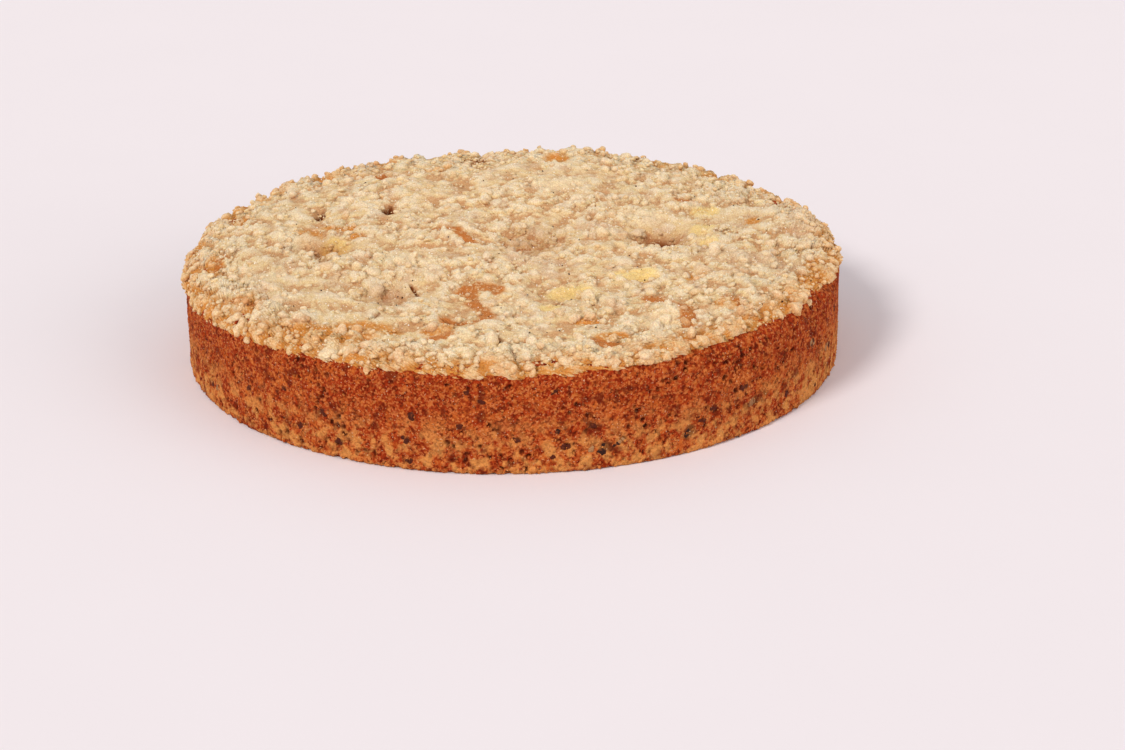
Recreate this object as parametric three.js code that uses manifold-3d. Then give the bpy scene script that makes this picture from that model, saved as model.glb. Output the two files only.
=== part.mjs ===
// Round single-layer carrot cake with a baked crumb topping, in millimetres, +Z up.
// The origin is the middle of the flat underside, and the side that faces the viewer is -Y.
// Two pieces: the sponge, and the blanket of crumb topping that lies on it with its lumps baked fast.
import * as THREE from "three";
import { mergeVertices } from "three/addons/utils/BufferGeometryUtils.js";
import Module from "manifold-3d";

// The cake's outline.
const PAN_RADIUS = 114.3; // a nine-inch round tin
const SIDE_HEIGHT = 30.2; // where the upright side ends and the shoulder begins to round over
const SHOULDER_RISE = 5.2; // height of the rounded shoulder above the side
const SHOULDER_POWER = 26; // how tight the shoulder is: higher is tighter
const CROWN_RISE = 3.8; // how far the middle has domed above the shoulder
const FOOT_INSET = 0.9; // the bottom edge is drawn in a little where it met the tin's corner
const FOOT_HEIGHT = 1.4;

// The topping.
const TOPPING_THICKNESS = 3.6;
const TOPPING_EDGE_THICKNESS = 1.2;
const TOPPING_EDGE_RADIUS = 112.4;
const TOPPING_EDGE_WANDER = 0.5; // the rim of the topping runs unevenly in and out
const TOPPING_TAPER = 13; // the width over which the blanket thins towards its rim
const REST_GAP = 0.4; // between the sponge and the topping, so that the two never overlap

// Crumbs too small to be lumps of their own: pebbles that cover the whole blanket.
const PEBBLES = { pitch: 8.4, radius: 4.9, highest: 3.3, lowest: 0.9, roughness: 1.1 };

// Lumps that stand clear of the blanket, largest first, and a row of them along its rim.
const BROAD_LUMPS = { count: 34, largest: 4.2, smallest: 2.8, reach: 101 };
const RIM_LUMPS = { count: 21, largest: 3.0, smallest: 2.0, radius: 109.6, spread: 1.4 };
const LUMP_FLATNESS = 0.76; // a lump's height against its width
const LUMP_SEAT = 0.28; // height of a lump's middle above the crust, as a share of its size
const LUMP_ROOT = 0.5; // how far down into the blanket a lump may reach, as a share of its thickness

// Mesh fineness: ring k of a disc has 6k points, so cells are about the same size all over.
const SPONGE_PLAN = { rings: 16, shoulder: [101.0, 106.6, 110.4, TOPPING_EDGE_RADIUS, PAN_RADIUS] };
const CRUST_PLAN = { rings: 32, shoulder: [103.4, 106.8, 109.7, TOPPING_EDGE_RADIUS] };
const CELL_JITTER = 0.26;
const SIDE_ROWS = [0.85, 0.68, 0.52, 0.36, 0.2]; // heights of the side's rows, as shares of SIDE_HEIGHT

// Relief of the side: dents where crumb tore away or fruit sits, and a soft waviness.
const SIDE_DENTS = { count: 44, widest: 5.6, narrowest: 3.6, deepest: 1.4 };
const SIDE_WAVE = { rise: 0.35, length: 13, turns: 9 };

// Hollows (negative rise) and mounds of the top, each at [x, y] with a spread and a rise.
const RELIEF = [
  { at: [-66, -2], spread: 9, rise: -5.0 }, // deep hollow at the left
  { at: [52, 3], spread: 11, rise: -5.4 }, // deep hollow at the right
  { at: [6, -2], spread: 15, rise: -3.4 }, // valley behind the middle ridge
  { at: [-44, -52], spread: 10, rise: -3.0 }, // trough behind the front left rim
  { at: [-49, 80], spread: 9, rise: -2.4 }, // dip near the far left rim
  { at: [16, -56], spread: 9, rise: -1.6 }, // shallow dip where the yellow patches show
  { at: [-22, 4], spread: 13, rise: 2.4 }, // middle ridge
  { at: [-13, -24], spread: 12, rise: 1.8 }, // middle ridge, near end
  { at: [71, 0], spread: 8, rise: 2.4 }, // fruit mound
  { at: [49, -73], spread: 8, rise: 2.2 }, // front right mound
  { at: [-9, -91], spread: 8, rise: 1.6 }, // front mound
  { at: [-93, -14], spread: 12, rise: 1.8 }, // left mound
  { at: [-68, -62], spread: 12, rise: 1.4 }, // front left mound
  { at: [-38, 98], spread: 8, rise: 1.5 }, // far left rim bump
  { at: [14, 62], spread: 24, rise: 1.8 }, // broad far mound
  { at: [82, -52], spread: 15, rise: 1.0 }, // right mound
];
// Sink holes, which open in the topping alone.
const SINK_HOLES = [
  { at: [-69, 36], spread: 4.2, rise: -2.3 },
  { at: [-45, 38], spread: 4.2, rise: -2.3 },
  { at: [82, 9], spread: 5.0, rise: -2.0 },
];
const LUMPINESS = { rise: 0.45, length: 7.5 };

const COLOURS = { sponge: 0xa9511f, topping: 0xe0be90 };

// Seeded random numbers from 0 to 1 (mulberry32), so that every build is the same.
function seededRandom(seed) {
  let state = seed >>> 0;
  return () => {
    state = (state + 0x6d2b79f5) >>> 0;
    let t = Math.imul(state ^ (state >>> 15), 1 | state);
    t = (t + Math.imul(t ^ (t >>> 7), 61 | t)) ^ t;
    return ((t ^ (t >>> 14)) >>> 0) / 4294967296;
  };
}

// A number from 0 to 1 that depends only on the whole numbers i and j and on a seed.
function hash(i, j, seed = 0) {
  return seededRandom(i * 7919 + j * 104729 + seed * 15485863 + 12345)();
}

// The sum of bell-shaped hollows and mounds at (x, y).
function reliefOf(features, x, y) {
  return features.reduce((sum, { at, spread, rise }) => {
    const distance = Math.hypot(x - at[0], y - at[1]) / spread;
    return sum + rise * Math.exp(-distance * distance);
  }, 0);
}

// The cake's top, topping included: shoulder, crown, hollows and mounds, and a soft lumpiness.
function crustHeight(x, y) {
  const share = Math.min(Math.hypot(x, y) / PAN_RADIUS, 1);
  const shoulder = SHOULDER_RISE * Math.sqrt(1 - share ** SHOULDER_POWER);
  const crown = CROWN_RISE * (1 - share ** 4);
  const inside = 1 - share ** 10; // the relief fades out at the rim
  const wave = (along, across) => Math.sin(along / LUMPINESS.length) * Math.cos(across / LUMPINESS.length);
  const lumpiness = LUMPINESS.rise * (wave(x + 0.6 * y, y - 0.3 * x) + wave(0.6 * y, 0.5 * x));
  return SIDE_HEIGHT + shoulder + crown + (lumpiness + reliefOf(RELIEF, x, y)) * inside;
}

// Thickness of the topping: full over the middle and thin at its rim.
function toppingThickness(x, y) {
  const toRim = THREE.MathUtils.smoothstep(TOPPING_EDGE_RADIUS - Math.hypot(x, y), 0, TOPPING_TAPER);
  return THREE.MathUtils.lerp(TOPPING_EDGE_THICKNESS, TOPPING_THICKNESS, toRim);
}

// The sponge's own top, which lies under the topping with the resting gap between them.
function spongeHeight(x, y) {
  if (Math.hypot(x, y) > PAN_RADIUS - 0.1) return SIDE_HEIGHT;
  return crustHeight(x, y) - toppingThickness(x, y) - REST_GAP;
}

// Height of the pebbles at (x, y): the tallest of the domes on a jittered lattice.
function pebbleHeight(x, y) {
  const column = Math.round(x / PEBBLES.pitch);
  const row = Math.round(y / PEBBLES.pitch);
  let tallest = 0;
  for (let i = column - 1; i <= column + 1; i++) {
    for (let j = row - 1; j <= row + 1; j++) {
      const middleX = (i + 0.7 * (hash(i, j, 1) - 0.5)) * PEBBLES.pitch;
      const middleY = (j + 0.7 * (hash(i, j, 2) - 0.5)) * PEBBLES.pitch;
      const distance = Math.hypot(x - middleX, y - middleY) / PEBBLES.radius;
      const height = THREE.MathUtils.lerp(PEBBLES.lowest, PEBBLES.highest, hash(i, j, 3));
      tallest = Math.max(tallest, height * Math.sqrt(Math.max(0, 1 - distance * distance)));
    }
  }
  return tallest;
}

// The blanket's upper face: crust, sink holes and pebbles, which flatten out at the rim.
function blanketHeight(x, y) {
  const toRim = THREE.MathUtils.smoothstep(TOPPING_EDGE_RADIUS - Math.hypot(x, y), -1, 4);
  const roughness = PEBBLES.roughness * (hash(Math.round(x * 10), Math.round(y * 10), 4) - 0.5);
  return crustHeight(x, y) + reliefOf(SINK_HOLES, x, y) + toRim * (pebbleHeight(x, y) + roughness);
}

// Collects the points and triangles of one closed mesh.
class MeshBuilder {
  constructor() {
    this.points = [];
    this.triangles = [];
  }

  add(x, y, z) {
    this.points.push(x, y, z);
    return this.points.length / 3 - 1;
  }

  // Joins a lower and an upper ring, which may have different numbers of points.
  band(lower, upper) {
    let i = 0;
    let j = 0;
    while (i < lower.length || j < upper.length) {
      const a = lower[i % lower.length];
      const b = upper[j % upper.length];
      if ((i + 1) / lower.length <= (j + 1) / upper.length) {
        this.triangles.push(a, lower[(i + 1) % lower.length], b);
        i += 1;
      } else {
        this.triangles.push(a, upper[(j + 1) % upper.length], b);
        j += 1;
      }
    }
  }

  // Fills a disc of nested rings, where ring k has 6k points, facing up or down.
  disc(rings, facingUp) {
    const face = (a, b, c) => this.triangles.push(a, facingUp ? b : c, facingUp ? c : b);
    for (let k = 0; k + 1 < rings.length; k++) {
      const inner = rings[k];
      const outer = rings[k + 1];
      for (let sector = 0; sector < 6; sector++) {
        for (let i = 0; i <= k; i++) {
          const a = inner[(sector * k + i) % inner.length];
          const b = outer[(sector * (k + 1) + i) % outer.length];
          const bNext = outer[(sector * (k + 1) + i + 1) % outer.length];
          face(a, b, bNext);
          if (i < k) face(a, bNext, inner[(sector * k + i + 1) % inner.length]);
        }
      }
    }
  }

  geometry() {
    const made = new THREE.BufferGeometry();
    made.setAttribute("position", new THREE.Float32BufferAttribute(this.points, 3));
    made.setIndex(this.triangles);
    return made;
  }
}

// Radius of the topping's rim at an angle.
function rimRadius(angle) {
  return TOPPING_EDGE_RADIUS + TOPPING_EDGE_WANDER * (Math.sin(13 * angle) + Math.sin(29 * angle + 1));
}

// Plan position of point j of ring k: even rings in the middle, then those that shape the shoulder.
function planPoint({ rings, shoulder }, k, j) {
  if (k === 0) return [0, 0];
  const evenRings = rings - shoulder.length + 1;
  const step = (2 * Math.PI) / (6 * k);
  const pitch = shoulder[0] / evenRings;
  if (k < evenRings) {
    const angle = step * (j + CELL_JITTER * (hash(k, j, rings) - 0.5) * 2);
    const radius = pitch * (k + CELL_JITTER * (hash(k, j, rings + 1) - 0.5) * 2);
    return [radius * Math.cos(angle), radius * Math.sin(angle)];
  }
  const angle = step * j;
  const plain = shoulder[k - evenRings];
  const radius = plain === TOPPING_EDGE_RADIUS ? rimRadius(angle) : plain;
  return [radius * Math.cos(angle), radius * Math.sin(angle)];
}

// Adds the points of rings 0 to last of a plan, lifted by a height function.
function addRings(builder, plan, last, height) {
  return Array.from({ length: last + 1 }, (_, k) =>
    Array.from({ length: Math.max(1, 6 * k) }, (_, j) => {
      const [x, y] = planPoint(plan, k, j);
      return builder.add(x, y, height(x, y));
    }),
  );
}

// Dents of the side, each with its place round the cake, its height, its width and its depth.
function sideDents() {
  const random = seededRandom(31);
  return Array.from({ length: SIDE_DENTS.count }, () => ({
    angle: random() * 2 * Math.PI,
    height: SIDE_HEIGHT * (0.12 + 0.75 * random()),
    width: THREE.MathUtils.lerp(SIDE_DENTS.narrowest, SIDE_DENTS.widest, random()),
    depth: SIDE_DENTS.deepest * (0.5 + 0.5 * random()),
  }));
}

// Radius of the side at an angle and a height: waviness and dents, drawn in at the foot.
function sideRadius(angle, height, dents) {
  const wave = Math.sin(SIDE_WAVE.turns * angle + height / SIDE_WAVE.length) + Math.sin(23 * angle + 2);
  let radius = PAN_RADIUS + SIDE_WAVE.rise * 0.5 * wave;
  for (const dent of dents) {
    const turn = Math.abs(angle - dent.angle);
    const aside = PAN_RADIUS * Math.min(turn, 2 * Math.PI - turn);
    const distance = Math.hypot(aside, height - dent.height) / dent.width;
    radius -= dent.depth * Math.exp(-distance * distance);
  }
  return radius - FOOT_INSET * (1 - THREE.MathUtils.smoothstep(height, 0, FOOT_HEIGHT));
}

// The sponge: flat underside, dented upright side, rounded shoulder and uneven top.
function spongeGeometry() {
  const builder = new MeshBuilder();
  const columns = 6 * SPONGE_PLAN.rings;
  const dents = sideDents();
  const top = addRings(builder, SPONGE_PLAN, SPONGE_PLAN.rings, spongeHeight);
  builder.disc(top, true);
  let upper = top[SPONGE_PLAN.rings];
  for (const height of [...SIDE_ROWS.map((share) => share * SIDE_HEIGHT), FOOT_HEIGHT, 0]) {
    const lower = Array.from({ length: columns }, (_, j) => {
      const angle = (2 * Math.PI * j) / columns;
      const radius = sideRadius(angle, height, dents);
      return builder.add(radius * Math.cos(angle), radius * Math.sin(angle), height);
    });
    builder.band(lower, upper);
    upper = lower;
  }
  const middle = builder.add(0, 0, 0);
  upper.forEach((a, i) => builder.triangles.push(middle, upper[(i + 1) % columns], a));
  return builder.geometry();
}

// The blanket of topping without its lumps. Its underside follows the sponge's own facets.
function blanketGeometry() {
  const builder = new MeshBuilder();
  const lastUnder = SPONGE_PLAN.rings - 1;
  const under = addRings(builder, SPONGE_PLAN, lastUnder, (x, y) => spongeHeight(x, y) + REST_GAP);
  const over = addRings(builder, CRUST_PLAN, CRUST_PLAN.rings, blanketHeight);
  builder.disc(under, false);
  builder.disc(over, true);
  builder.band(under[lastUnder], over[CRUST_PLAN.rings]);
  return builder.geometry();
}

// One lump: a twenty-sided pebble with its corners pushed in and out.
function lumpGeometry(size, random) {
  const lump = new THREE.IcosahedronGeometry(size, 0);
  lump.deleteAttribute("normal");
  lump.deleteAttribute("uv");
  const merged = mergeVertices(lump);
  const place = merged.getAttribute("position");
  for (let i = 0; i < place.count; i++) {
    const push = 0.8 + 0.38 * random();
    place.setXYZ(i, push * place.getX(i), push * place.getY(i), push * place.getZ(i));
  }
  merged.rotateX(random() * Math.PI);
  merged.rotateZ(random() * 2 * Math.PI);
  merged.scale(1, 1, LUMP_FLATNESS);
  return merged;
}

// A lump baked into the crust at (x, y). Corners that would reach too deep are lifted, each to its
// own height, so that the lump stays a closed body with no face of zero area.
function seatedLump(x, y, size, random) {
  const lump = lumpGeometry(size, random);
  lump.translate(x, y, crustHeight(x, y) + LUMP_SEAT * size);
  const place = lump.getAttribute("position");
  for (let i = 0; i < place.count; i++) {
    const root = LUMP_ROOT * toppingThickness(place.getX(i), place.getY(i));
    const deepest = crustHeight(place.getX(i), place.getY(i)) - root;
    if (place.getZ(i) < deepest) place.setZ(i, deepest + 0.02 * i);
  }
  return lump;
}

// Lumps over the whole top, spread evenly by the golden angle and then stirred, largest first.
function broadLumps({ count, largest, smallest, reach }, random) {
  const goldenAngle = Math.PI * (3 - Math.sqrt(5));
  const spacing = (2 * reach) / Math.sqrt(count);
  return Array.from({ length: count }, (_, i) => {
    const order = (i * 13) % count; // neighbours differ in size
    const radius = reach * Math.sqrt((order + 0.5) / count);
    const angle = order * goldenAngle + 0.6;
    const x = radius * Math.cos(angle) + (random() - 0.5) * 0.5 * spacing;
    const y = radius * Math.sin(angle) + (random() - 0.5) * 0.5 * spacing;
    return seatedLump(x, y, THREE.MathUtils.lerp(largest, smallest, i / count), random);
  });
}

// The row of lumps along the rim of the topping.
function rimLumps({ count, largest, smallest, radius, spread }, random) {
  return Array.from({ length: count }, (_, i) => {
    const angle = (2 * Math.PI * (i + 0.7 * random())) / count;
    const out = radius + (random() - 0.5) * 2 * spread;
    const size = THREE.MathUtils.lerp(smallest, largest, random());
    return seatedLump(out * Math.cos(angle), out * Math.sin(angle), size, random);
  });
}

const wasm = await Module();
wasm.setup();

// A closed geometry as a solid that can be joined and cut.
function solidOf(geometry) {
  return new wasm.Manifold(
    new wasm.Mesh({
      numProp: 3,
      vertProperties: new Float32Array(geometry.getAttribute("position").array),
      triVerts: new Uint32Array(geometry.index.array),
    }),
  );
}

function geometryOf(solid) {
  const mesh = solid.getMesh();
  const made = new THREE.BufferGeometry();
  made.setAttribute("position", new THREE.Float32BufferAttribute(mesh.vertProperties, 3));
  made.setIndex(Array.from(mesh.triVerts));
  return made;
}

// The topping: the blanket joined with every lump that touches it and clears the sponge.
function toppingGeometry(spongeSolid) {
  const random = seededRandom(2024);
  const blanket = solidOf(blanketGeometry());
  const lumps = [...broadLumps(BROAD_LUMPS, random), ...rimLumps(RIM_LUMPS, random)]
    .map(solidOf)
    .filter((lump) => lump.intersect(spongeSolid).isEmpty() && !lump.intersect(blanket).isEmpty());
  const whole = wasm.Manifold.union([blanket, ...lumps]).simplify(0.02);
  return geometryOf(whole);
}

function piece(name, geometry, colour, roughness) {
  const material = new THREE.MeshStandardMaterial({
    color: colour,
    roughness,
    metalness: 0,
    flatShading: true,
  });
  const mesh = new THREE.Mesh(geometry, material);
  mesh.name = name;
  return mesh;
}

const cake = new THREE.Group();
const spongeShape = spongeGeometry();
cake.add(piece("sponge", spongeShape, COLOURS.sponge, 0.85));
cake.add(piece("crumb_topping", toppingGeometry(solidOf(spongeShape)), COLOURS.topping, 0.9));

export default cake;
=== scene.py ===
"""The looks of a round carrot cake with a baked crumb topping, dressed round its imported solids.

Lengths are millimetres in the row's own frame, and become metres where a mesh is made.
"""

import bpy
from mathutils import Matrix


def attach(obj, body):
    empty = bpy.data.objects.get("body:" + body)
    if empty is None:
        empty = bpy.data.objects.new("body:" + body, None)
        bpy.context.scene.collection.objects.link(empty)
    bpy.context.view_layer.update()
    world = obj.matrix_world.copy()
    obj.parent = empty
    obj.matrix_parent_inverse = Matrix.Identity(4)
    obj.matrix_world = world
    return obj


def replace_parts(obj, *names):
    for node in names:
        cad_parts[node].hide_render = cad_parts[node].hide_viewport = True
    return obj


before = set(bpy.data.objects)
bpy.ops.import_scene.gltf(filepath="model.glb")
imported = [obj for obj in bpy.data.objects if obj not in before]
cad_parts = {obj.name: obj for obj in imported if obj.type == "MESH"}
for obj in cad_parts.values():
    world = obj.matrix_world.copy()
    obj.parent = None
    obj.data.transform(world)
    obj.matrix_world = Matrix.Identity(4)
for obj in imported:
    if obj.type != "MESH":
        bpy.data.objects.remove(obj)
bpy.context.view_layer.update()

import logging
import math
from dataclasses import dataclass, field
from enum import Enum
from functools import cached_property

import bpy
import numpy as np
from mathutils import Matrix, Vector

LOG = logging.getLogger("carrot_cake")
METRES = 0.001  # one millimetre

Array = np.ndarray


# Numbers and noise.


def smoothstep(low: float, high: float, value: Array) -> Array:
    """A ramp from 0 at low to 1 at high, eased at both ends by 3t^2 - 2t^3.

    Args:
        low: Where the ramp is 0. It may be above high, for a falling ramp.
        high: Where the ramp is 1.
        value: The numbers to ramp.

    Returns:
        An array like value, from 0 to 1.
    """
    t = np.clip((value - low) / (high - low), 0.0, 1.0)
    return t * t * (3.0 - 2.0 * t)


def cell_random(cells: Array, seed: int) -> Array:
    """A random number for each whole-numbered cell, always the same for the same cell and seed.

    Each coordinate is multiplied by a large odd number, the products are added, and the bits of the
    sum are stirred by shifts and multiplications.

    Args:
        cells: Whole numbers with the coordinates in the last axis.
        seed: Picks one of many such fields.

    Returns:
        Numbers from 0 to 1, one for each cell.
    """
    primes = (0x8DA6B343, 0xD8163841, 0xCB1AB31F)
    mixed = np.full(cells.shape[:-1], (seed * 0x9E3779B1 + 0x85EBCA6B) & 0xFFFFFFFF, np.uint32)
    for axis in range(cells.shape[-1]):
        mixed += cells[..., axis].astype(np.int64).astype(np.uint32) * np.uint32(primes[axis])
    for shift, factor in ((15, 0x2C1B3C6D), (12, 0x297A2D39), (15, 0x5BD1E995)):
        mixed ^= mixed >> np.uint32(shift)
        mixed *= np.uint32(factor)
    mixed ^= mixed >> np.uint32(16)
    return mixed / 2.0**32


def neighbours(axes: int, reach: range) -> Array:
    """Every whole-numbered step in the given number of axes, one step a row."""
    return np.stack(np.meshgrid(*[np.array(reach)] * axes, indexing="ij"), -1).reshape(-1, axes)


def value_noise(points: Array, seed: int) -> Array:
    """Smooth noise: random values at the corners of each unit cell, blended across it by smoothstep.

    Args:
        points: Places in cell units, with the coordinates in the last axis.
        seed: Picks one of many such fields.

    Returns:
        Numbers from -1 to 1, one for each point.
    """
    base = np.floor(points)
    share = smoothstep(0.0, 1.0, points - base)
    total = np.zeros(points.shape[:-1])
    for step in neighbours(points.shape[-1], range(2)):
        weight = np.prod(np.where(step == 1, share, 1.0 - share), axis=-1)
        total += weight * cell_random(base + step, seed)
    return total * 2.0 - 1.0


def fractal_noise(points: Array, seed: int, octaves: int = 3) -> Array:
    """Sum of value noises, each half as large and half as high as the one before it."""
    total = np.zeros(points.shape[:-1])
    for octave in range(octaves):
        total += value_noise(points * 2.0**octave + 17.3 * octave, seed + octave) * 0.5**octave
    return total / (2.0 - 0.5 ** (octaves - 1))


def nearest_site(points: Array, seed: int) -> Array:
    """Distance from each point to the nearest of one randomly placed site in every unit cell.

    Args:
        points: Places in cell units, with the coordinates in the last axis.
        seed: Picks one of many such fields.

    Returns:
        The distances, in cell units, from 0 to about 1.
    """
    base = np.floor(points)
    nearest = np.full(points.shape[:-1], np.inf)
    for step in neighbours(points.shape[-1], range(-1, 2)):
        cell = base + step
        site = cell + np.stack([cell_random(cell, seed + 31 * axis) for axis in range(cell.shape[-1])], -1)
        np.minimum(nearest, np.sum((points - site) ** 2, axis=-1), out=nearest)
    return np.sqrt(nearest)


# Meshes.


def linear(hex_colour: str) -> tuple[float, float, float, float]:
    """Turns an sRGB hex colour such as #E1BD90 into Blender's linear RGBA."""
    parts = [int(hex_colour[i : i + 2], 16) / 255.0 for i in (1, 3, 5)]
    rgb = [p / 12.92 if p <= 0.04045 else ((p + 0.055) / 1.055) ** 2.4 for p in parts]
    return (*rgb, 1.0)


def make_piece(name: str, points: Array, triangles: Array, attributes: dict[str, Array]) -> bpy.types.Object:
    """Makes a smooth-shaded mesh object at the origin from whole arrays.

    Args:
        name: The piece's name.
        points: Vertices in millimetres, one a row.
        triangles: Vertex numbers, three a row, anticlockwise seen from outside.
        attributes: One number a vertex for each named attribute.

    Returns:
        The new object, linked to the scene.
    """
    mesh = bpy.data.meshes.new(name)
    mesh.vertices.add(len(points))
    mesh.vertices.foreach_set("co", (points * METRES).astype(np.float32).ravel())
    mesh.loops.add(triangles.size)
    mesh.loops.foreach_set("vertex_index", triangles.astype(np.int32).ravel())
    mesh.polygons.add(len(triangles))
    mesh.polygons.foreach_set("loop_start", np.arange(0, triangles.size, 3, dtype=np.int32))
    mesh.update(calc_edges=True)
    mesh.shade_smooth()
    for label, values in attributes.items():
        layer = mesh.attributes.new(label, "FLOAT", "POINT")
        layer.data.foreach_set("value", values.astype(np.float32).ravel())
    piece = bpy.data.objects.new(name, mesh)
    bpy.context.scene.collection.objects.link(piece)
    return piece


def disc_triangles(rings: int) -> Array:
    """Triangles of a disc of nested rings, where ring k has 6k points, facing up.

    Between rings k and k + 1 each of six sectors holds k + 1 triangles with their base on the outer
    ring, and k triangles with their base on the inner one.

    Args:
        rings: The number of rings round the middle point.

    Returns:
        Vertex numbers, three a row. The middle point is vertex 0 and the rings follow in order.
    """
    start = [0] + [1 + 3 * k * (k - 1) for k in range(1, rings + 1)]
    found = []
    for k in range(rings):
        sector, i = (grid.ravel() for grid in np.meshgrid(np.arange(6), np.arange(k + 1), indexing="ij"))
        a = start[k] + (sector * k + i) % max(1, 6 * k)
        b = start[k + 1] + (sector * (k + 1) + i) % (6 * (k + 1))
        b_next = start[k + 1] + (sector * (k + 1) + i + 1) % (6 * (k + 1))
        a_next = start[k] + (sector * k + i + 1) % max(1, 6 * k)
        inner = i < k
        found += [np.stack([a, b, b_next], -1), np.stack([a, b_next, a_next], -1)[inner]]
    return np.concatenate(found)


def relative_height(height: Array, triangles: Array, rounds: int) -> Array:
    """How far each vertex stands above the average of those near it.

    In each round every value becomes the mean of its neighbours' values along the mesh's edges.

    Args:
        height: One height a vertex.
        triangles: Vertex numbers, three a row.
        rounds: How many times the heights are averaged, which sets how wide near is.

    Returns:
        The height less the averaged height.
    """
    start, end = triangles.ravel(), np.roll(triangles, -1, axis=1).ravel()
    number = np.bincount(start, minlength=len(height))
    smooth = height
    for _ in range(rounds):
        smooth = np.bincount(start, smooth[end], len(height)) / number
    return height - smooth


def fan_triangles(ring: Array, middle: int, facing_up: bool) -> Array:
    """Triangles from a middle vertex to each side of a closed ring of vertices."""
    following = np.roll(ring, -1)
    centre = np.full_like(ring, middle)
    pair = (ring, following) if facing_up else (following, ring)
    return np.stack([centre, *pair], -1)


def geodesic_sphere(level: int) -> tuple[Array, Array]:
    """A unit sphere of nearly equal triangles: an icosahedron with each face split in four, level times.

    Args:
        level: 0 gives 20 faces, 1 gives 80 and 2 gives 320.

    Returns:
        The vertices and the triangles.
    """
    golden = (1.0 + math.sqrt(5.0)) / 2.0
    flat = np.array([(a, b * golden, 0.0) for a in (-1, 1) for b in (-1, 1)])
    points = np.concatenate([np.roll(flat, k, axis=1) for k in range(3)])
    points /= np.linalg.norm(points, axis=1, keepdims=True)
    # Corners that share an edge are 1.05 apart, and the next nearest 1.70.
    close = np.linalg.norm(points[:, None] - points[None], axis=-1) < 1.2
    trios = ((i, j, k) for i in range(len(points)) for j in range(i) for k in range(j))
    triangles = np.array([(i, j, k) for i, j, k in trios if close[i, j] and close[j, k] and close[i, k]])
    first, second, third = np.moveaxis(points[triangles], 1, 0)
    inside_out = np.einsum("nk,nk->n", np.cross(second - first, third - first), first) < 0
    triangles[inside_out] = triangles[inside_out][:, ::-1]
    for _ in range(level):
        edges = np.concatenate([triangles[:, pair] for pair in ([0, 1], [1, 2], [2, 0])])
        unique, place = np.unique(np.sort(edges, axis=1), axis=0, return_inverse=True)
        middles = points[unique].mean(axis=1)
        middles /= np.linalg.norm(middles, axis=1, keepdims=True)
        ab, bc, ca = place.reshape(3, -1) + len(points)
        a, b, c = triangles.T
        points = np.concatenate([points, middles])
        quarters = ((a, ab, ca), (b, bc, ab), (c, ca, bc), (ab, bc, ca))
        triangles = np.concatenate([np.stack(quarter, -1) for quarter in quarters])
    return points, triangles


def random_turns(count: int, draw: np.random.Generator) -> Array:
    """Rotation matrices of random unit quaternions, which turn a shape evenly in every direction."""
    quaternions = draw.normal(size=(4, count))
    w, x, y, z = quaternions / np.linalg.norm(quaternions, axis=0)
    rows = [
        [1 - 2 * (y * y + z * z), 2 * (x * y - z * w), 2 * (x * z + y * w)],
        [2 * (x * y + z * w), 1 - 2 * (x * x + z * z), 2 * (y * z - x * w)],
        [2 * (x * z - y * w), 2 * (y * z + x * w), 1 - 2 * (x * x + y * y)],
    ]
    return np.moveaxis(np.array(rows), -1, 0)


def lumps(level: int, sizes: Array, draw: np.random.Generator) -> tuple[Array, Array]:
    """Irregular lumps round their own middles, with a few broad bulges and many small ones.

    A point in direction d lies at the lump's size times 1 - h/2 plus h times the tallest bulge there, added
    over the kinds of bulge. A bulge of width w round direction k is a cap of height 1 - a^2, where a is the
    distance from d to k divided by w. The whole is then stretched and turned at random.

    Args:
        level: The fineness of each lump's sphere.
        sizes: One radius a lump, in millimetres.
        draw: The source of random numbers.

    Returns:
        Points of shape (lumps, vertices, 3), and the triangles of one lump.
    """
    ball, triangles = geodesic_sphere(level)
    count = len(sizes)
    reach = np.ones((count, len(ball)))
    for knobs, width, height in KNOBS[level]:
        ways = draw.normal(size=(count, knobs, 3))
        ways /= np.linalg.norm(ways, axis=-1, keepdims=True)
        widths = width * draw.uniform(*KNOB_WIDTHS, (count, 1, knobs))
        apart = np.sqrt(np.clip(2.0 - 2.0 * np.einsum("vk,nwk->nvw", ball, ways), 0.0, None)) / widths
        tallest = np.clip(1.0 - apart**2, 0.0, 1.0).max(axis=-1)
        reach += height * (tallest - 0.5)
    stretch = draw.uniform(*LUMP_STRETCH, (count, 1, 3))
    turned = np.einsum("nij,nvj->nvi", random_turns(count, draw), ball[None] * reach[..., None] * stretch)
    return turned * sizes[:, None, None], triangles


def flattened(shapes: Array, outward: Array, share: float) -> Array:
    """Squeezes each shape along its own outward direction to a share of its thickness."""
    along = np.einsum("nvj,nj->nv", shapes, outward)
    return shapes - (1.0 - share) * along[..., None] * outward[:, None]


def join_lumps(shapes: Array, triangles: Array) -> tuple[Array, Array]:
    """Joins many placed shapes that share one set of triangles into the arrays of one mesh."""
    count, vertices = shapes.shape[:2]
    offsets = (np.arange(count) * vertices)[:, None, None]
    return shapes.reshape(-1, 3), (triangles[None] + offsets).reshape(-1, 3)


# The cake's form, which repeats the named values of the solids.


def distance(places: Array) -> Array:
    """How far each place is from the middle, seen from above."""
    return np.hypot(places[..., 0], places[..., 1])


@dataclass(frozen=True)
class Ripple:
    """Smooth noise of a real height and length in millimetres."""

    height: float
    length: float
    seed: int

    def at(self, places: Array) -> Array:
        """The height times fractal noise of the places over the length."""
        return self.height * fractal_noise(places / self.length, self.seed)


def shifted(places: Array, ripples: tuple[Ripple, Ripple]) -> Array:
    """Shifts places across and away by a ripple each, so that what is drawn there has an uneven edge."""
    return places + np.stack([ripple.at(places) for ripple in ripples], -1)


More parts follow.
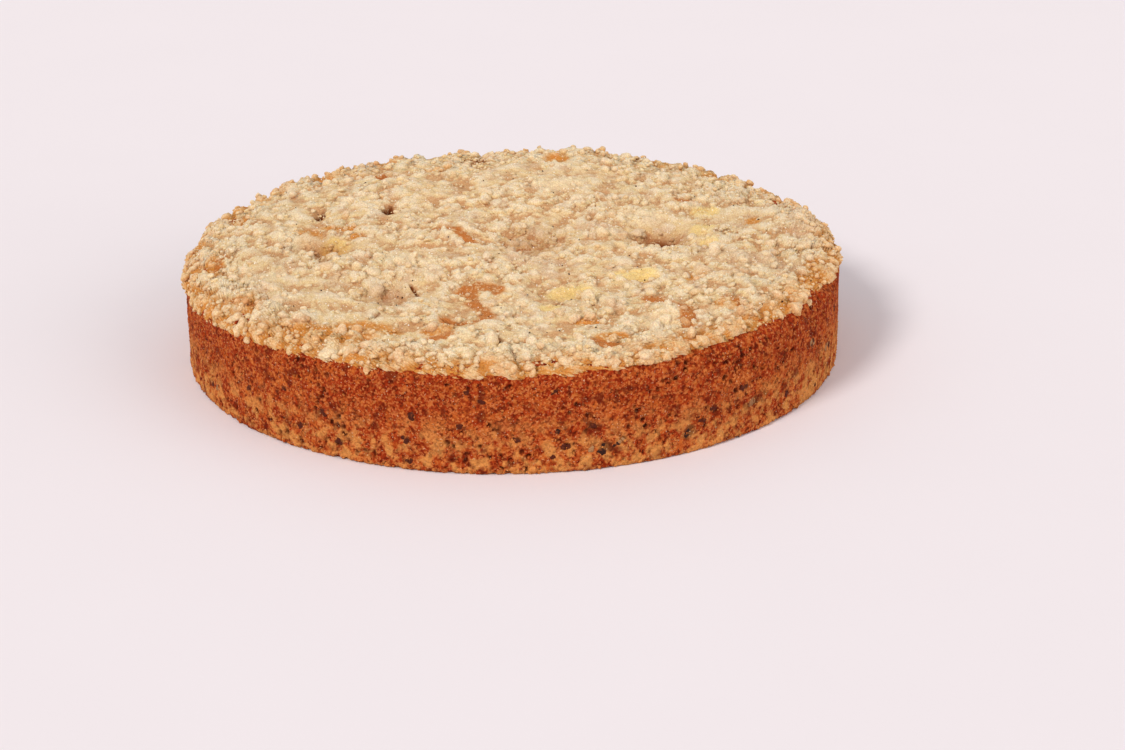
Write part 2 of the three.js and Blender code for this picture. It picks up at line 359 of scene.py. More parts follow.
@dataclass(frozen=True)
class Swell:
    """A bell-shaped hollow, with a negative rise, or mound of the top."""

    x: float
    y: float
    spread: float
    rise: float

    def height(self, places: Array) -> Array:
        """The rise times exp(-d^2), where d is the distance from the middle in spreads."""
        apart = (places[..., 0] - self.x) ** 2 + (places[..., 1] - self.y) ** 2
        return self.rise * np.exp(-apart / self.spread**2)


def swelling(swells: tuple[Swell, ...], places: Array) -> Array:
    """Height of several hollows and mounds together."""
    return sum(swell.height(places) for swell in swells)


@dataclass(frozen=True)
class Outline:
    """The cake's outer line in cross-section, from the middle over the shoulder and down the side.

    Each field holds one number for each of many places along the line: how far along it is, its radius
    and height, and how far out and up the direction away from the cake goes.
    """

    arc: Array
    radius: Array
    height: Array
    out: Array
    up: Array

    def along(self, arc: Array) -> tuple[Array, Array, Array, Array]:
        """Radius, height, out and up at each length along the line."""
        return tuple(np.interp(arc, self.arc, row) for row in (self.radius, self.height, self.out, self.up))

    def arc_at_height(self, height: Array) -> Array:
        """The length along the line at which it has come down to a height."""
        return np.interp(-height, -self.height, self.arc)

    def arc_at_radius(self, radius: Array) -> Array:
        """The length along the line at which it has reached a radius."""
        return np.interp(radius, self.radius, self.arc)


@dataclass(frozen=True)
class CakeForm:
    """The outline of the cake, topping included."""

    radius: float = 114.3
    side_height: float = 30.2
    shoulder_rise: float = 5.2
    shoulder_power: float = 26.0
    crown_rise: float = 3.8
    crown_power: float = 4.0
    foot_height: float = 1.4
    foot_inset: float = 0.9
    lumpiness: float = 0.45
    lump_length: float = 7.5
    calm_power: int = 10
    outline_foot: float = 20.0
    outline_steps: int = 2600
    outline_softness: int = 41
    side_step: float = 0.05
    relief: tuple[Swell, ...] = (
        Swell(-66, -2, 9, -5.0),
        Swell(52, 3, 11, -5.4),
        Swell(6, -2, 15, -3.4),
        Swell(-44, -52, 10, -3.0),
        Swell(-49, 80, 9, -2.4),
        Swell(16, -56, 9, -1.6),
        Swell(-22, 4, 13, 2.4),
        Swell(-13, -24, 12, 1.8),
        Swell(71, 0, 8, 2.4),
        Swell(49, -73, 8, 2.2),
        Swell(-9, -91, 8, 1.6),
        Swell(-93, -14, 12, 1.8),
        Swell(-68, -62, 12, 1.4),
        Swell(-38, 98, 8, 1.5),
        Swell(14, 62, 24, 1.8),
        Swell(82, -52, 15, 1.0),
    )

    def shoulder(self, radius: Array) -> Array:
        """Height over the side's top: a superellipse for the shoulder, plus a crown that falls as r^4."""
        share = np.clip(radius / self.radius, 0.0, 1.0)
        round_over = self.shoulder_rise * np.sqrt(1.0 - share**self.shoulder_power)
        return self.side_height + round_over + self.crown_rise * (1.0 - share**self.crown_power)

    def uneven(self, places: Array) -> Array:
        """Height of the crust's unevenness over the shoulder and crown.

        The hollows and mounds plus two crossing waves, all fading out at the rim as 1 - r^10.

        Args:
            places: Places seen from above, in millimetres.

        Returns:
            Heights in millimetres.
        """
        inside = 1.0 - np.clip(distance(places) / self.radius, 0.0, 1.0) ** self.calm_power
        x, y, k = places[..., 0], places[..., 1], self.lump_length
        waves = np.sin((x + 0.6 * y) / k) * np.cos((y - 0.3 * x) / k)
        waves += np.sin(0.6 * y / k) * np.cos(0.5 * x / k)
        return (self.lumpiness * waves + swelling(self.relief, places)) * inside

    @cached_property
    def outline(self) -> Outline:
        """The shoulder's curve and then the side, in even steps, with the outward direction averaged."""
        radius = self.radius * (1.0 - (1.0 - np.linspace(0.0, 1.0, 4 * self.outline_steps)) ** 3)
        side = np.arange(self.side_height - self.side_step, self.outline_foot, -self.side_step)
        height = np.concatenate([self.shoulder(radius), side])
        radius = np.concatenate([radius, np.full(side.shape, self.radius)])
        arc = np.concatenate([[0.0], np.cumsum(np.hypot(np.diff(radius), np.diff(height)))])
        even = np.linspace(0.0, arc[-1], self.outline_steps)
        radius, height = np.interp(even, arc, radius), np.interp(even, arc, height)
        turned = (-np.gradient(height, even), np.gradient(radius, even))
        padded = [np.pad(row, self.outline_softness // 2, "edge") for row in turned]
        box = np.full(self.outline_softness, 1.0 / self.outline_softness)
        out, up = (np.convolve(row, box, "valid") for row in padded)
        size = np.hypot(out, up)
        return Outline(even, radius, height, out / size, up / size)


# What shows where on the topping.


class Tone(Enum):
    """The colours that break up the cream of the topping."""

    GOLDEN = "golden"
    YELLOW = "yellow"
    BROWN = "brown"
    ROSE = "rose"
    CREAM = "cream"


# The share of crumbs that each tone keeps off.
BARENESS = {Tone.GOLDEN: 0.1, Tone.YELLOW: 0.25, Tone.BROWN: 0.6, Tone.ROSE: 0.12, Tone.CREAM: 0.0}

# Ovals of each tone: place across, place away, length, width and turn in degrees.
OVALS = {
    Tone.GOLDEN: (
        (-64, -84, 20, 7, -38), (-48, -82, 13, 7, -18), (-88, -56, 9, 5, -55), (-103, -18, 4, 12, 6),
        (-98, 30, 4, 8, -14), (-55, 8, 3, 3, 0), (-72, 8, 5, 10, 0), (-59, 16, 9, 3, 0),
        (-70, 81, 6, 4, 45), (-27, 83, 4, 4, 0), (17, 93, 5, 8, 0), (86, 15, 3, 5, 0),
        (93, -64, 12, 4, 38), (76, -82, 9, 4, 40), (70, -66, 5, 4, 10), (31, -92, 6, 3, 15),
        (24, -80, 6, 3, -10), (62, -42, 6, 4, 30), (103, -30, 4, 14, -8), (-24, -86, 7, 4, -8),
    ),
    Tone.YELLOW: (
        (-62, 2, 6, 7, 0), (19, -53, 9, 6, 8), (12, -69, 4.5, 4, 0), (41, -40, 9, 4.5, 6),
        (70, 28, 6, 5.5, 0), (68, 8, 5, 8, 0), (69, -7, 3.8, 4, 0),
    ),
    # Rose marks pinkish crust, and in the valley near the middle it is painted shade.
    Tone.ROSE: (
        (103, 8, 6, 16, 6), (84, -24, 15, 9, -25), (8, -22, 13, 8, -20), (3, -74, 6, 4, 0), (30, 10, 8, 6, 0),
    ),
    Tone.CREAM: (
        (47, -80, 8, 6, 0), (-85, -32, 10, 6, 20), (-35, -25, 12, 7, -30), (-3, -67, 8, 5, 10),
        (5, -98, 16, 5, 0), (31, -102, 7, 4, 0), (-59, -94, 5, 4, 0), (67, -70, 5, 5, 0),
        (-19, -91, 10, 4, 0), (24, -62, 8, 4, 0), (18, 58, 14, 9, 0), (46, 22, 10, 8, 0), (-75, 5, 9, 7, 0),
    ),
}


@dataclass(frozen=True)
class Patch:
    """An oval of one tone on the topping, turned by an angle in degrees."""

    tone: Tone
    x: float
    y: float
    length: float
    width: float
    turn: float

    def cover(self, places: Array) -> Array:
        """One over the inner part of the oval, easing to none at 1.25 times its size."""
        c, s = math.cos(math.radians(self.turn)), math.sin(math.radians(self.turn))
        x, y = places[..., 0] - self.x, places[..., 1] - self.y
        return smoothstep(1.25, 0.55, np.hypot((x * c + y * s) / self.length, (y * c - x * s) / self.width))


@dataclass(frozen=True)
class Streak:
    """A narrow mark along a line of points, such as a split in the crust or a run of caramel."""

    points: tuple[tuple[float, float], ...]
    width: float

    def cover(self, places: Array) -> Array:
        """The share exp(-d^2), where d is the distance to the line in widths."""
        nearest = np.full(places.shape[:-1], np.inf)
        for start, end in zip(self.points, self.points[1:]):
            way, offset = np.subtract(end, start), places - np.array(start)
            t = np.clip(np.sum(offset * way, axis=-1) / np.sum(way * way), 0.0, 1.0)
            np.minimum(nearest, distance(offset - t[..., None] * way), out=nearest)
        return np.exp(-((nearest / self.width) ** 2))


@dataclass(frozen=True)
class ToppingMap:
    """Where the topping is bare, toasted, fruity or split. Cracks wander less than patches do."""

    wander: tuple[Ripple, Ripple] = (Ripple(1.7, 4.5, 71), Ripple(1.7, 4.5, 72))
    crack_wander: float = 0.4
    patches: tuple[Patch, ...] = tuple(Patch(tone, *oval) for tone, ovals in OVALS.items() for oval in ovals)
    caramel: tuple[Streak, ...] = (
        Streak(((45, -60), (50, -64.5), (54.5, -67.5), (57.5, -72), (57.5, -78), (55, -83)), 3.2),
        Streak(((-16, -51), (-12, -49.5), (-8, -51), (-5.5, -54.5)), 3.0),
        Streak(((-14, -53), (-14.5, -60)), 2.1),
        Streak(((-14, -62), (-10.5, -68), (-8, -74), (-9, -78)), 3.0),
        Streak(((-23, -77), (-20, -81.5), (-16, -82), (-10, -79.5)), 2.1),
        Streak(((61, 38), (67, 37)), 2.1),
        Streak(((-27, 6.5), (-20, 3), (-15, -4)), 2.2),
        Streak(((-58, 79), (-49, 82)), 3.0),
        Streak(((4, -95), (9, -94.5)), 1.8),
        Streak(((26, -95.5), (31, -98)), 2.1),
        Streak(((-101, -12), (-102, -22)), 2.2),
        Streak(((-93, -50), (-87, -58)), 2.1),
        Streak(((-28, -92), (-20, -90)), 2.1),
        Streak(((70, -60), (75, -66)), 1.8),
    )
    cracks: tuple[Streak, ...] = (
        Streak(((-69.8, 30), (-68.5, 38)), 1.4),
        Streak(((-44.8, 33), (-44.2, 40)), 1.3),
        Streak(((-10, -91.3), (-7, -92), (-4.5, -94.2), (-1, -98), (-0.3, -104), (1, -108)), 0.75),
        Streak(((-22.5, -77), (-20.5, -81), (-16, -82), (-10, -79.5)), 0.55),
        Streak(((-47, -74), (-45.5, -73.5), (-44, -69)), 0.55),
        Streak(((-34.5, -44), (-32.5, -48.5), (-32, -55)), 0.6),
        Streak(((-44.5, -44.5), (-42.5, -42)), 0.6),
        Streak(((55, -85.5), (57, -84.4)), 0.7),
        Streak(((15, -92), (17, -93)), 0.5),
        Streak(((43.5, -103), (44.5, -100), (43.5, -97.5)), 0.45),
    )
    holes: tuple[Swell, ...] = (
        Swell(-69, 35, 2.3, -6.5),
        Swell(-44.5, 37, 2.7, -5.5),
        Swell(76, 4, 3.6, -3.2),
        Swell(-66, -17, 3.6, -2.2),
        Swell(52, 5, 4.5, -2.0),
        Swell(-67, -3, 10, -1.6),
        Swell(50, 3, 12, -1.4),
    )
    heaps: tuple[Swell, ...] = (
        Swell(24, 97, 15, 1.9),
        Swell(-12, 100, 12, -1.3),
        Swell(-30, -34, 13, 1.5),
        Swell(-10, -12, 8, 1.0),
        Swell(50, -73, 7, 0.8),
        Swell(104, 16, 13, 3.6),
        Swell(-24, 104, 9, -1.5),
    )

    def tones(self, places: Array) -> dict[Tone, Array]:
        """How much of each tone there is at each place, from 0 to 1."""
        wandered = shifted(places, self.wander)
        cover = {tone: np.zeros(places.shape[:-1]) for tone in Tone}
        for patch in self.patches:
            np.maximum(cover[patch.tone], patch.cover(wandered), out=cover[patch.tone])
        cover[Tone.BROWN] = np.max([streak.cover(wandered) for streak in self.caramel], axis=0)
        return cover

    def crumb_cover(self, tones: dict[Tone, Array]) -> Array:
        """The share of crumbs that each place keeps: fewer where a tone shows through."""
        return np.prod([1.0 - BARENESS[tone] * cover for tone, cover in tones.items()], axis=0)

    def split(self, places: Array) -> Array:
        """How deep in a crack each place is, from 0 to 1."""
        wandered = places + self.crack_wander * (shifted(places, self.wander) - places)
        return np.max([crack.cover(wandered) for crack in self.cracks], axis=0)


# Crumbs.


class CrumbSize(Enum):
    """The sizes of crumb that the topping is made of, largest first."""

    CLUMP = "clumps"
    COARSE = "coarse_crumbs"
    MEDIUM = "medium_crumbs"
    SMALL = "small_crumbs"
    FINE = "fine_crumbs"


@dataclass(frozen=True)
class CrumbLattice:
    """Crumbs of one size, at most one to each cell of a jittered square lattice.

    pitch is the cell's width, smallest and largest are crumb radii, filled is the share of cells with a
    crumb, stand is the height of its cap in the bed as a share of its radius, loose is the share that
    also stand in the bed as lumps of their own, and level is the fineness of those lumps. jitter is how
    much of its cell a crumb may lie in, and rarity makes large ones rarer.
    """

    pitch: float
    smallest: float
    largest: float
    filled: float
    stand: float
    loose: float
    level: int
    seed: int
    jitter: float = 0.8
    rarity: float = 1.6
    roundness: float = 0.7

    def crumbs_of(self, cells: Array) -> tuple[Array, Array]:
        """The place and the radius of each cell's crumb. An empty cell's radius is 0."""
        aside = np.stack([cell_random(cells, self.seed + axis) for axis in range(2)], -1) - 0.5
        share = cell_random(cells, self.seed + 2) ** self.rarity
        size = self.smallest + (self.largest - self.smallest) * share
        kept = cell_random(cells, self.seed + 3) < self.filled
        return (cells + 0.5 + self.jitter * aside) * self.pitch, np.where(kept, size, 0.0)

    def caps(self, places: Array) -> Array:
        """Height of the tallest crumb cap over each place: stand times r (1 - d^2 / r^2)^0.7."""
        base = np.floor(places / self.pitch)
        tallest = np.zeros(places.shape[:-1])
        for step in neighbours(2, range(-1, 2)):
            middle, size = self.crumbs_of(base + step)
            apart = np.sum((places - middle) ** 2, axis=-1) / np.maximum(size, 0.01) ** 2
            inside = np.clip(1.0 - apart, 0.0, None)
            np.maximum(tallest, self.stand * size * inside**self.roundness, out=tallest)
        return tallest

    def sites(self, reach: float) -> tuple[Array, Array]:
        """Place and radius of every crumb within reach of the middle."""
        last = int(reach / self.pitch) + 1
        middle, size = self.crumbs_of(neighbours(2, range(-last, last + 1)).astype(float))
        kept = (size > 0.0) & (distance(middle) < reach)
        return middle[kept], size[kept]


CRUMBS = {
    CrumbSize.CLUMP: CrumbLattice(10.0, 2.8, 5.2, 0.65, 0.55, 0.0, 3, 100),
    CrumbSize.COARSE: CrumbLattice(5.4, 1.7, 3.2, 0.75, 0.75, 0.25, 1, 110),
    CrumbSize.MEDIUM: CrumbLattice(3.1, 1.0, 1.7, 0.8, 0.6, 0.75, 1, 120),
    CrumbSize.SMALL: CrumbLattice(1.9, 0.6, 1.0, 0.8, 0.4, 0.6, 0, 130),
    CrumbSize.FINE: CrumbLattice(1.5, 0.26, 0.46, 0.75, 0.4, 0.7, 0, 140),
}

# The bulges of a lump by its mesh's fineness: how many, how wide and how high, largest first.
KNOBS = {
    0: ((3, 1.0, 0.45),),
    1: ((4, 1.0, 0.45), (8, 0.6, 0.2)),
    3: ((5, 1.1, 0.5), (14, 0.6, 0.3), (60, 0.3, 0.16)),
}

# By what share a bulge is wider or narrower than that, and a lump longer or shorter each way than round.
KNOB_WIDTHS = (0.75, 1.25)
LUMP_STRETCH = (0.7, 1.25)

# Clumps that stand out on the real cake: place across, place away and radius.
PLACED_CLUMPS = (
    (-59.5, -92.5, 3.2), (-52.3, -96.4, 2.2), (-47.8, -98.0, 2.0), (-35.5, -103.6, 2.9),
    (-46.6, -103.0, 1.5), (-20.4, -101.8, 3.0), (-5.2, -100.6, 3.0), (-7.4, -63.8, 2.6),
    (-2.5, -73.5, 2.6), (-34.5, -24.7, 2.0), (-34.5, -36.9, 1.8), (31.9, -92.8, 2.3),
    (40.7, -96.5, 1.8), (45.5, -85.3, 3.0), (50.8, -76.6, 3.4), (52.4, -83.1, 2.8),
    (48.3, -80.0, 2.6), (60.9, -72.3, 2.4), (55.4, -90.9, 1.3), (52.3, -95.0, 1.6),
    (27.0, -106.0, 2.4), (31.0, -106.0, 2.2), (35.7, -105.0, 1.5), (16.4, -108.0, 2.2),
    (19.4, -107.6, 1.8), (17.6, -101.0, 2.0), (20.1, -92.9, 2.4), (42.0, -101.6, 2.2),
    (46.4, -99.6, 2.5), (3.3, -104.9, 2.5), (0.5, -99.9, 2.0), (5.9, -98.4, 2.2),
    (9.6, -105.6, 2.2), (-92.2, -60.8, 2.6), (-88.9, -67.0, 2.2), (-84.9, -72.0, 1.8),
    (-96.0, -53.6, 2.4), (-84.0, -65.5, 2.6), (-89.8, -55.3, 2.2), (-72.8, -75.4, 2.2),
    (59.5, -91.2, 1.6), (64.4, -88.3, 1.6), (73.8, -81.4, 1.5), (66.9, -79.5, 1.8),
    (77.4, -70.7, 1.8), (15.1, -73.2, 2.6), (11.3, -76.5, 2.2), (19.8, -78.3, 2.4),
    (25.2, -62.5, 2.6), (28.8, -55.7, 2.2), (31.7, -65.1, 2.4), (-35.0, -19.7, 2.6),
    (-28.9, -29.5, 3.2), (-26.6, -42.5, 3.0), (-14.6, -34.0, 2.6), (-5.4, -33.8, 2.8),
    (2.4, 10.9, 2.8), (6.8, 17.0, 2.0), (12.9, -15.7, 2.6), (28.6, -23.6, 2.2),
    (41.6, -10.7, 2.4), (38.8, 5.3, 2.8), (44.4, 11.3, 2.2), (61.9, -29.3, 3.0),
    (57.4, -40.0, 2.4), (62.9, -43.8, 2.6), (71.5, -10.9, 2.6), (69.8, -5.3, 2.8),
    (-59.5, 28.7, 2.2), (-56.2, -82.0, 2.4), (-57.3, -86.7, 1.8), (-69.6, -74.3, 2.8),
    (-83.0, -61.7, 2.0), (-78.7, -57.0, 2.6), (-73.3, -53.5, 2.6), (-82.4, -43.3, 2.4),
    (-78.2, -32.4, 2.2), (-96.5, -29.5, 3.4), (-93.5, -24.2, 3.2), (-26.7, -100.9, 2.4),
    (-29.9, -103.9, 2.0), (-21.6, -104.9, 2.2), (-16.6, -102.0, 1.8), (-11.5, -105.8, 2.0),
    (-7.7, -96.1, 3.2), (10.1, -98.5, 1.6), (14.6, -95.0, 1.8), (24.7, -78.4, 2.0),
    (29.2, -104.1, 1.8), (66.8, -84.5, 2.0), (72.1, -87.8, 1.8), (80.0, -79.4, 1.6),
    (83.0, -74.4, 1.4), (92.5, -61.7, 2.4), (95.6, -54.8, 2.0), (98.4, -53.8, 1.6),
    (76.0, -63.9, 1.8), (82.0, -41.7, 1.8), (77.1, -44.2, 1.8), (58.2, -63.4, 1.8),
    (64.1, -55.5, 2.2), (44.6, -100.7, 2.6), (41.3, -103.7, 2.4),
)


@dataclass(frozen=True)
class ToppingForm:
    """The uneven skin of the topping: fused crumbs laid over the cake's outline and down over its shoulder.

    Places on it are given as they lie when the skin is rolled out flat: how far across and how far away
    from the middle, measured along the outline. A span is where a change begins and ends: for heap, calm,
    tuck and toast in millimetres beyond the topping's edge, and for plain in its own noise.
    """

    cake: CakeForm
    plan: ToppingMap
    bed_lift: float = 0.1
    broad: Ripple = Ripple(1.5, 9.0, 57)
    rough: Ripple = Ripple(0.4, 1.9, 51)
    line: Ripple = Ripple(1.0, 5.2, 54)
    fissure_depth: float = 0.7
    fissure_width: float = 0.09
    crack_depth: float = 1.5
    roll_off: float = 0.5
    tuck: float = 2.4
    edge_wander: Ripple = Ripple(1.1, 4.2, 52)
    edge_fray: Ripple = Ripple(1.1, 1.7, 58)
    heap: float = 0.25
    heap_span: tuple[float, float] = (-14.0, -4.0)
    calm_span: tuple[float, float] = (0.0, -7.0)
    tuck_span: tuple[float, float] = (-0.4, 0.6)
    rim_width: float = 24.0
    plain: Ripple = Ripple(1.0, 17.0, 60)
    plain_span: tuple[float, float] = (0.35, -0.2)
    plain_share: float = 0.3
    middle_share: float = 0.7
    wide_warp: tuple[Ripple, Ripple] = (Ripple(1.4, 3.8, 61), Ripple(1.4, 3.8, 62))
    narrow_warp: tuple[Ripple, Ripple] = (Ripple(0.4, 1.3, 63), Ripple(0.4, 1.3, 64))
    medium_share: float = 0.8
    small_share: float = 0.7
    deep_dip: float = 4.5
    toast_edge: Ripple = Ripple(3.0, 7.0, 55)
    toast_span: tuple[float, float] = (-14.0, -2.0)
    toast: float = 0.9
    cream_share: float = 0.7
    # The angle from the front, turning to the right, and the height at which the topping ends there.
    edge_heights: tuple[tuple[float, float], ...] = (
        (-85, 29.4), (-65, 30.0), (-50, 31.2), (-40, 32.6), (-20, 33.0), (0, 32.8), (20, 33.3), (32, 33.9),
        (45, 34.3), (69, 34.0), (80, 31.2), (100, 31.5), (140, 32.8), (180, 31.6), (220, 32.6), (250, 31.0),
    )

    def edge(self, places: Array) -> Array:
        """How far from the middle the topping ends, along the outline.

        The height given for the angle is turned into a length along the outline, and smooth noise of two
        sizes makes the edge wander and fray.

        Args:
            places: Places on the rolled-out skin, in millimetres.

        Returns:
            Lengths in millimetres, one for each place.
        """
        angle = np.degrees(np.arctan2(places[..., 0], -places[..., 1]))
        known = np.array(self.edge_heights)
        height = np.interp(angle, known[:, 0], known[:, 1], period=360.0)
        ragged = self.edge_wander.at(places) + self.edge_fray.at(places)
        return self.cake.outline.arc_at_height(height) + ragged

    def rubble(self, places: Array) -> Array:
        """How rubbly each place is: 1 for heaped crumbs, less on plains and bare patches, none in holes."""
        inwards = self.cake.radius - distance(places)
        rim = smoothstep(self.rim_width, 0.5 * self.rim_width, inwards)
        heaped = np.maximum(self.middle_share * smoothstep(*self.plain_span, self.plain.at(places)), rim)
        # A hole 2 mm deep still keeps all its crumbs, and one 4 mm deep has none.
        pits = np.clip(-0.5 * swelling(self.plan.holes, places) - 1.0, 0.0, 1.0)
        kept = self.plan.crumb_cover(self.plan.tones(places))
        return (self.plain_share + (1.0 - self.plain_share) * heaped) * kept * (1.0 - pits)

    def crumb_relief(self, places: Array) -> Array:
        """Height of the fused crumbs: the larger caps, with the smaller ones on top of them.

        The places are first shifted by noise of two sizes, so that no cap is round.

        Args:
            places: Places on the rolled-out skin, in millimetres.

        Returns:
            Heights in millimetres.
        """
        wide, narrow = shifted(places, self.wide_warp), shifted(places, self.narrow_warp)
        big = np.maximum(CRUMBS[CrumbSize.CLUMP].caps(wide), CRUMBS[CrumbSize.COARSE].caps(wide))
        medium = self.medium_share * CRUMBS[CrumbSize.MEDIUM].caps(narrow)
        return big + medium + self.small_share * CRUMBS[CrumbSize.SMALL].caps(narrow)

    def body(self, places: Array) -> Array:
        """How thick the crumble lies, as if it had no edge.

        The bed plus broad swelling, plus the crumbs where they are kept, plus fine noise, less winding
        fissures, holes and cracks.

        Args:
            places: Places on the rolled-out skin, in millimetres.

        Returns:
            Thickness in millimetres.
        """
        keep = self.rubble(places)
        beyond = distance(places) - self.edge(places)
        winding = smoothstep(self.fissure_width, 0.0, np.abs(self.line.at(places)))
        fissure = self.fissure_depth * winding * keep
        heaped = 1.0 + self.heap * smoothstep(*self.heap_span, beyond)
        broad = self.broad.at(places) * smoothstep(*self.calm_span, beyond)
        shaped = swelling(self.plan.holes + self.plan.heaps, places)
        crumbs = self.crumb_relief(places) * keep * heaped
        cut = self.crack_depth * self.plan.split(places)
        return self.bed_lift + broad + crumbs + self.rough.at(places) - fissure + shaped - cut

    def thickness(self, places: Array) -> Array:
        """How far the skin stands out from the cake's outline.

        The body, less of it the more the outline turns down, since crumbs roll off there. Beyond the edge
        it is eased down to the tuck, which is inside the sponge.

        Args:
            places: Places on the rolled-out skin, in millimetres.

        Returns:
            Thickness in millimetres, below zero where the topping has ended.
        """
        arc, body = distance(places), self.body(places)
        leaning = self.cake.outline.along(arc)[2]
        body = np.where(body > 0.0, body * (1.0 - self.roll_off * leaning**2), body)
        return body - (self.tuck + body) * smoothstep(*self.tuck_span, arc - self.edge(places))

    def skin(self, places: Array, lift: Array) -> Array:
        """Points that stand out from the cake's outline by a given length.

        The outline gives a radius, a height and an outward direction at each length from the middle. The
        point is that radius and height, raised by the hollows and mounds, plus the lift times the direction.

        Args:
            places: Places on the rolled-out skin, in millimetres.
            lift: How far each point stands out.

        Returns:
            Points in millimetres, one a row.
        """
        arc = np.maximum(distance(places), 1e-6)
        radius, height, out, up = self.cake.outline.along(arc)
        way = places / arc[..., None]
        height = height + self.cake.uneven(way * radius[..., None]) + lift * up
        return np.concatenate([way * (radius + lift * out)[..., None], height[..., None]], -1)

    def values(self, places: Array) -> dict[str, Array]:
        """What the crumble's finish reads at each place.

        Args:
            places: Places on the rolled-out skin, in millimetres.

        Returns:
            The share of each tone, and how deep in a hollow and in a split each place is.
        """
        tones = self.plan.tones(places)
        beyond = distance(places) + self.toast_edge.at(places) - self.edge(places)
        # The thin edge of the crumble took more colour than the middle.
        golden = np.maximum(tones[Tone.GOLDEN], self.toast * smoothstep(*self.toast_span, beyond))
        tones[Tone.GOLDEN] = golden * (1.0 - self.cream_share * tones[Tone.CREAM])
        hollow = -swelling(self.cake.relief, places) / self.deep_dip
        hole = -swelling(self.plan.holes, places) / self.deep_dip
        values = {tone.value: cover for tone, cover in tones.items()}
        # How deep each place lies in a broad hollow, which the finish paints as shade.
        values["dip"] = np.clip(hollow, 0.0, 1.0)
        # A shallow hole keeps its colour, and a deep one is painted as dark as a crack, both painted shade.
        values["split"] = np.maximum(self.plan.split(places), np.clip(2.2 * hole - 0.4, 0.0, 1.0))
        return values


# Finishes.


def pick(sockets: bpy.types.bpy_prop_collection, key: str) -> bpy.types.NodeSocket:
    """The socket with a given identifier or, failing that, with a given name."""
    return next(s for kind in ("identifier", "name") for s in sockets if getattr(s, kind) == key)


def add_node(
    tree: bpy.types.NodeTree, kind: str, inputs: dict[str, object], output: str, **settings: object
) -> bpy.types.NodeSocket:
    """Adds a node with its settings, its input values and its links.

    Args:
        tree: The material's node tree.
        kind: Blender's name for the node.
        inputs: For each socket, a value or the output socket to link to it.
        output: The socket that is wanted back.
        settings: The node's own properties.

    Returns:
        That output socket of the new node.
    """
    node = tree.nodes.new(kind)
    for label, value in settings.items():
        setattr(node, label, value)
    for key, value in inputs.items():
        socket = pick(node.inputs, key)
        if isinstance(value, bpy.types.NodeSocket):
            tree.links.new(value, socket)
        else:
            socket.default_value = value
    return pick(node.outputs, output)


# Ramps and layers ease in and out between their ends.
EASED = {"interpolation_type": "SMOOTHSTEP"}


class Pattern(Enum):
    """Where a grain comes from: smooth noise, or cells with one value each."""

    NOISE = "ShaderNodeTexNoise"
    CELLS = "ShaderNodeTexVoronoi"


@dataclass(frozen=True)
class Grain:
    """A pattern from 0 to 1 on Object coordinates, with features of a real size in millimetres."""

    size: float
    detail: float = 2.0
    shift: float = 0.0
    pattern: Pattern = Pattern.NOISE


@dataclass(frozen=True)
class Blend:
    """A field made of one field plus a share of another."""

    base: str
    by: str
    share: float


@dataclass(frozen=True)
class Ramp:
    """A field eased from 0 to 1 while another goes from low to high."""

    field: str
    low: float
    high: float


@dataclass(frozen=True)
class Layer:
    """A colour laid over what is below it, up to a strength, while a field goes from low to high."""

    field: str
    low: float
    high: float
    strength: float
    colour: str
    within: str = ""
    blend: str = "MIX"


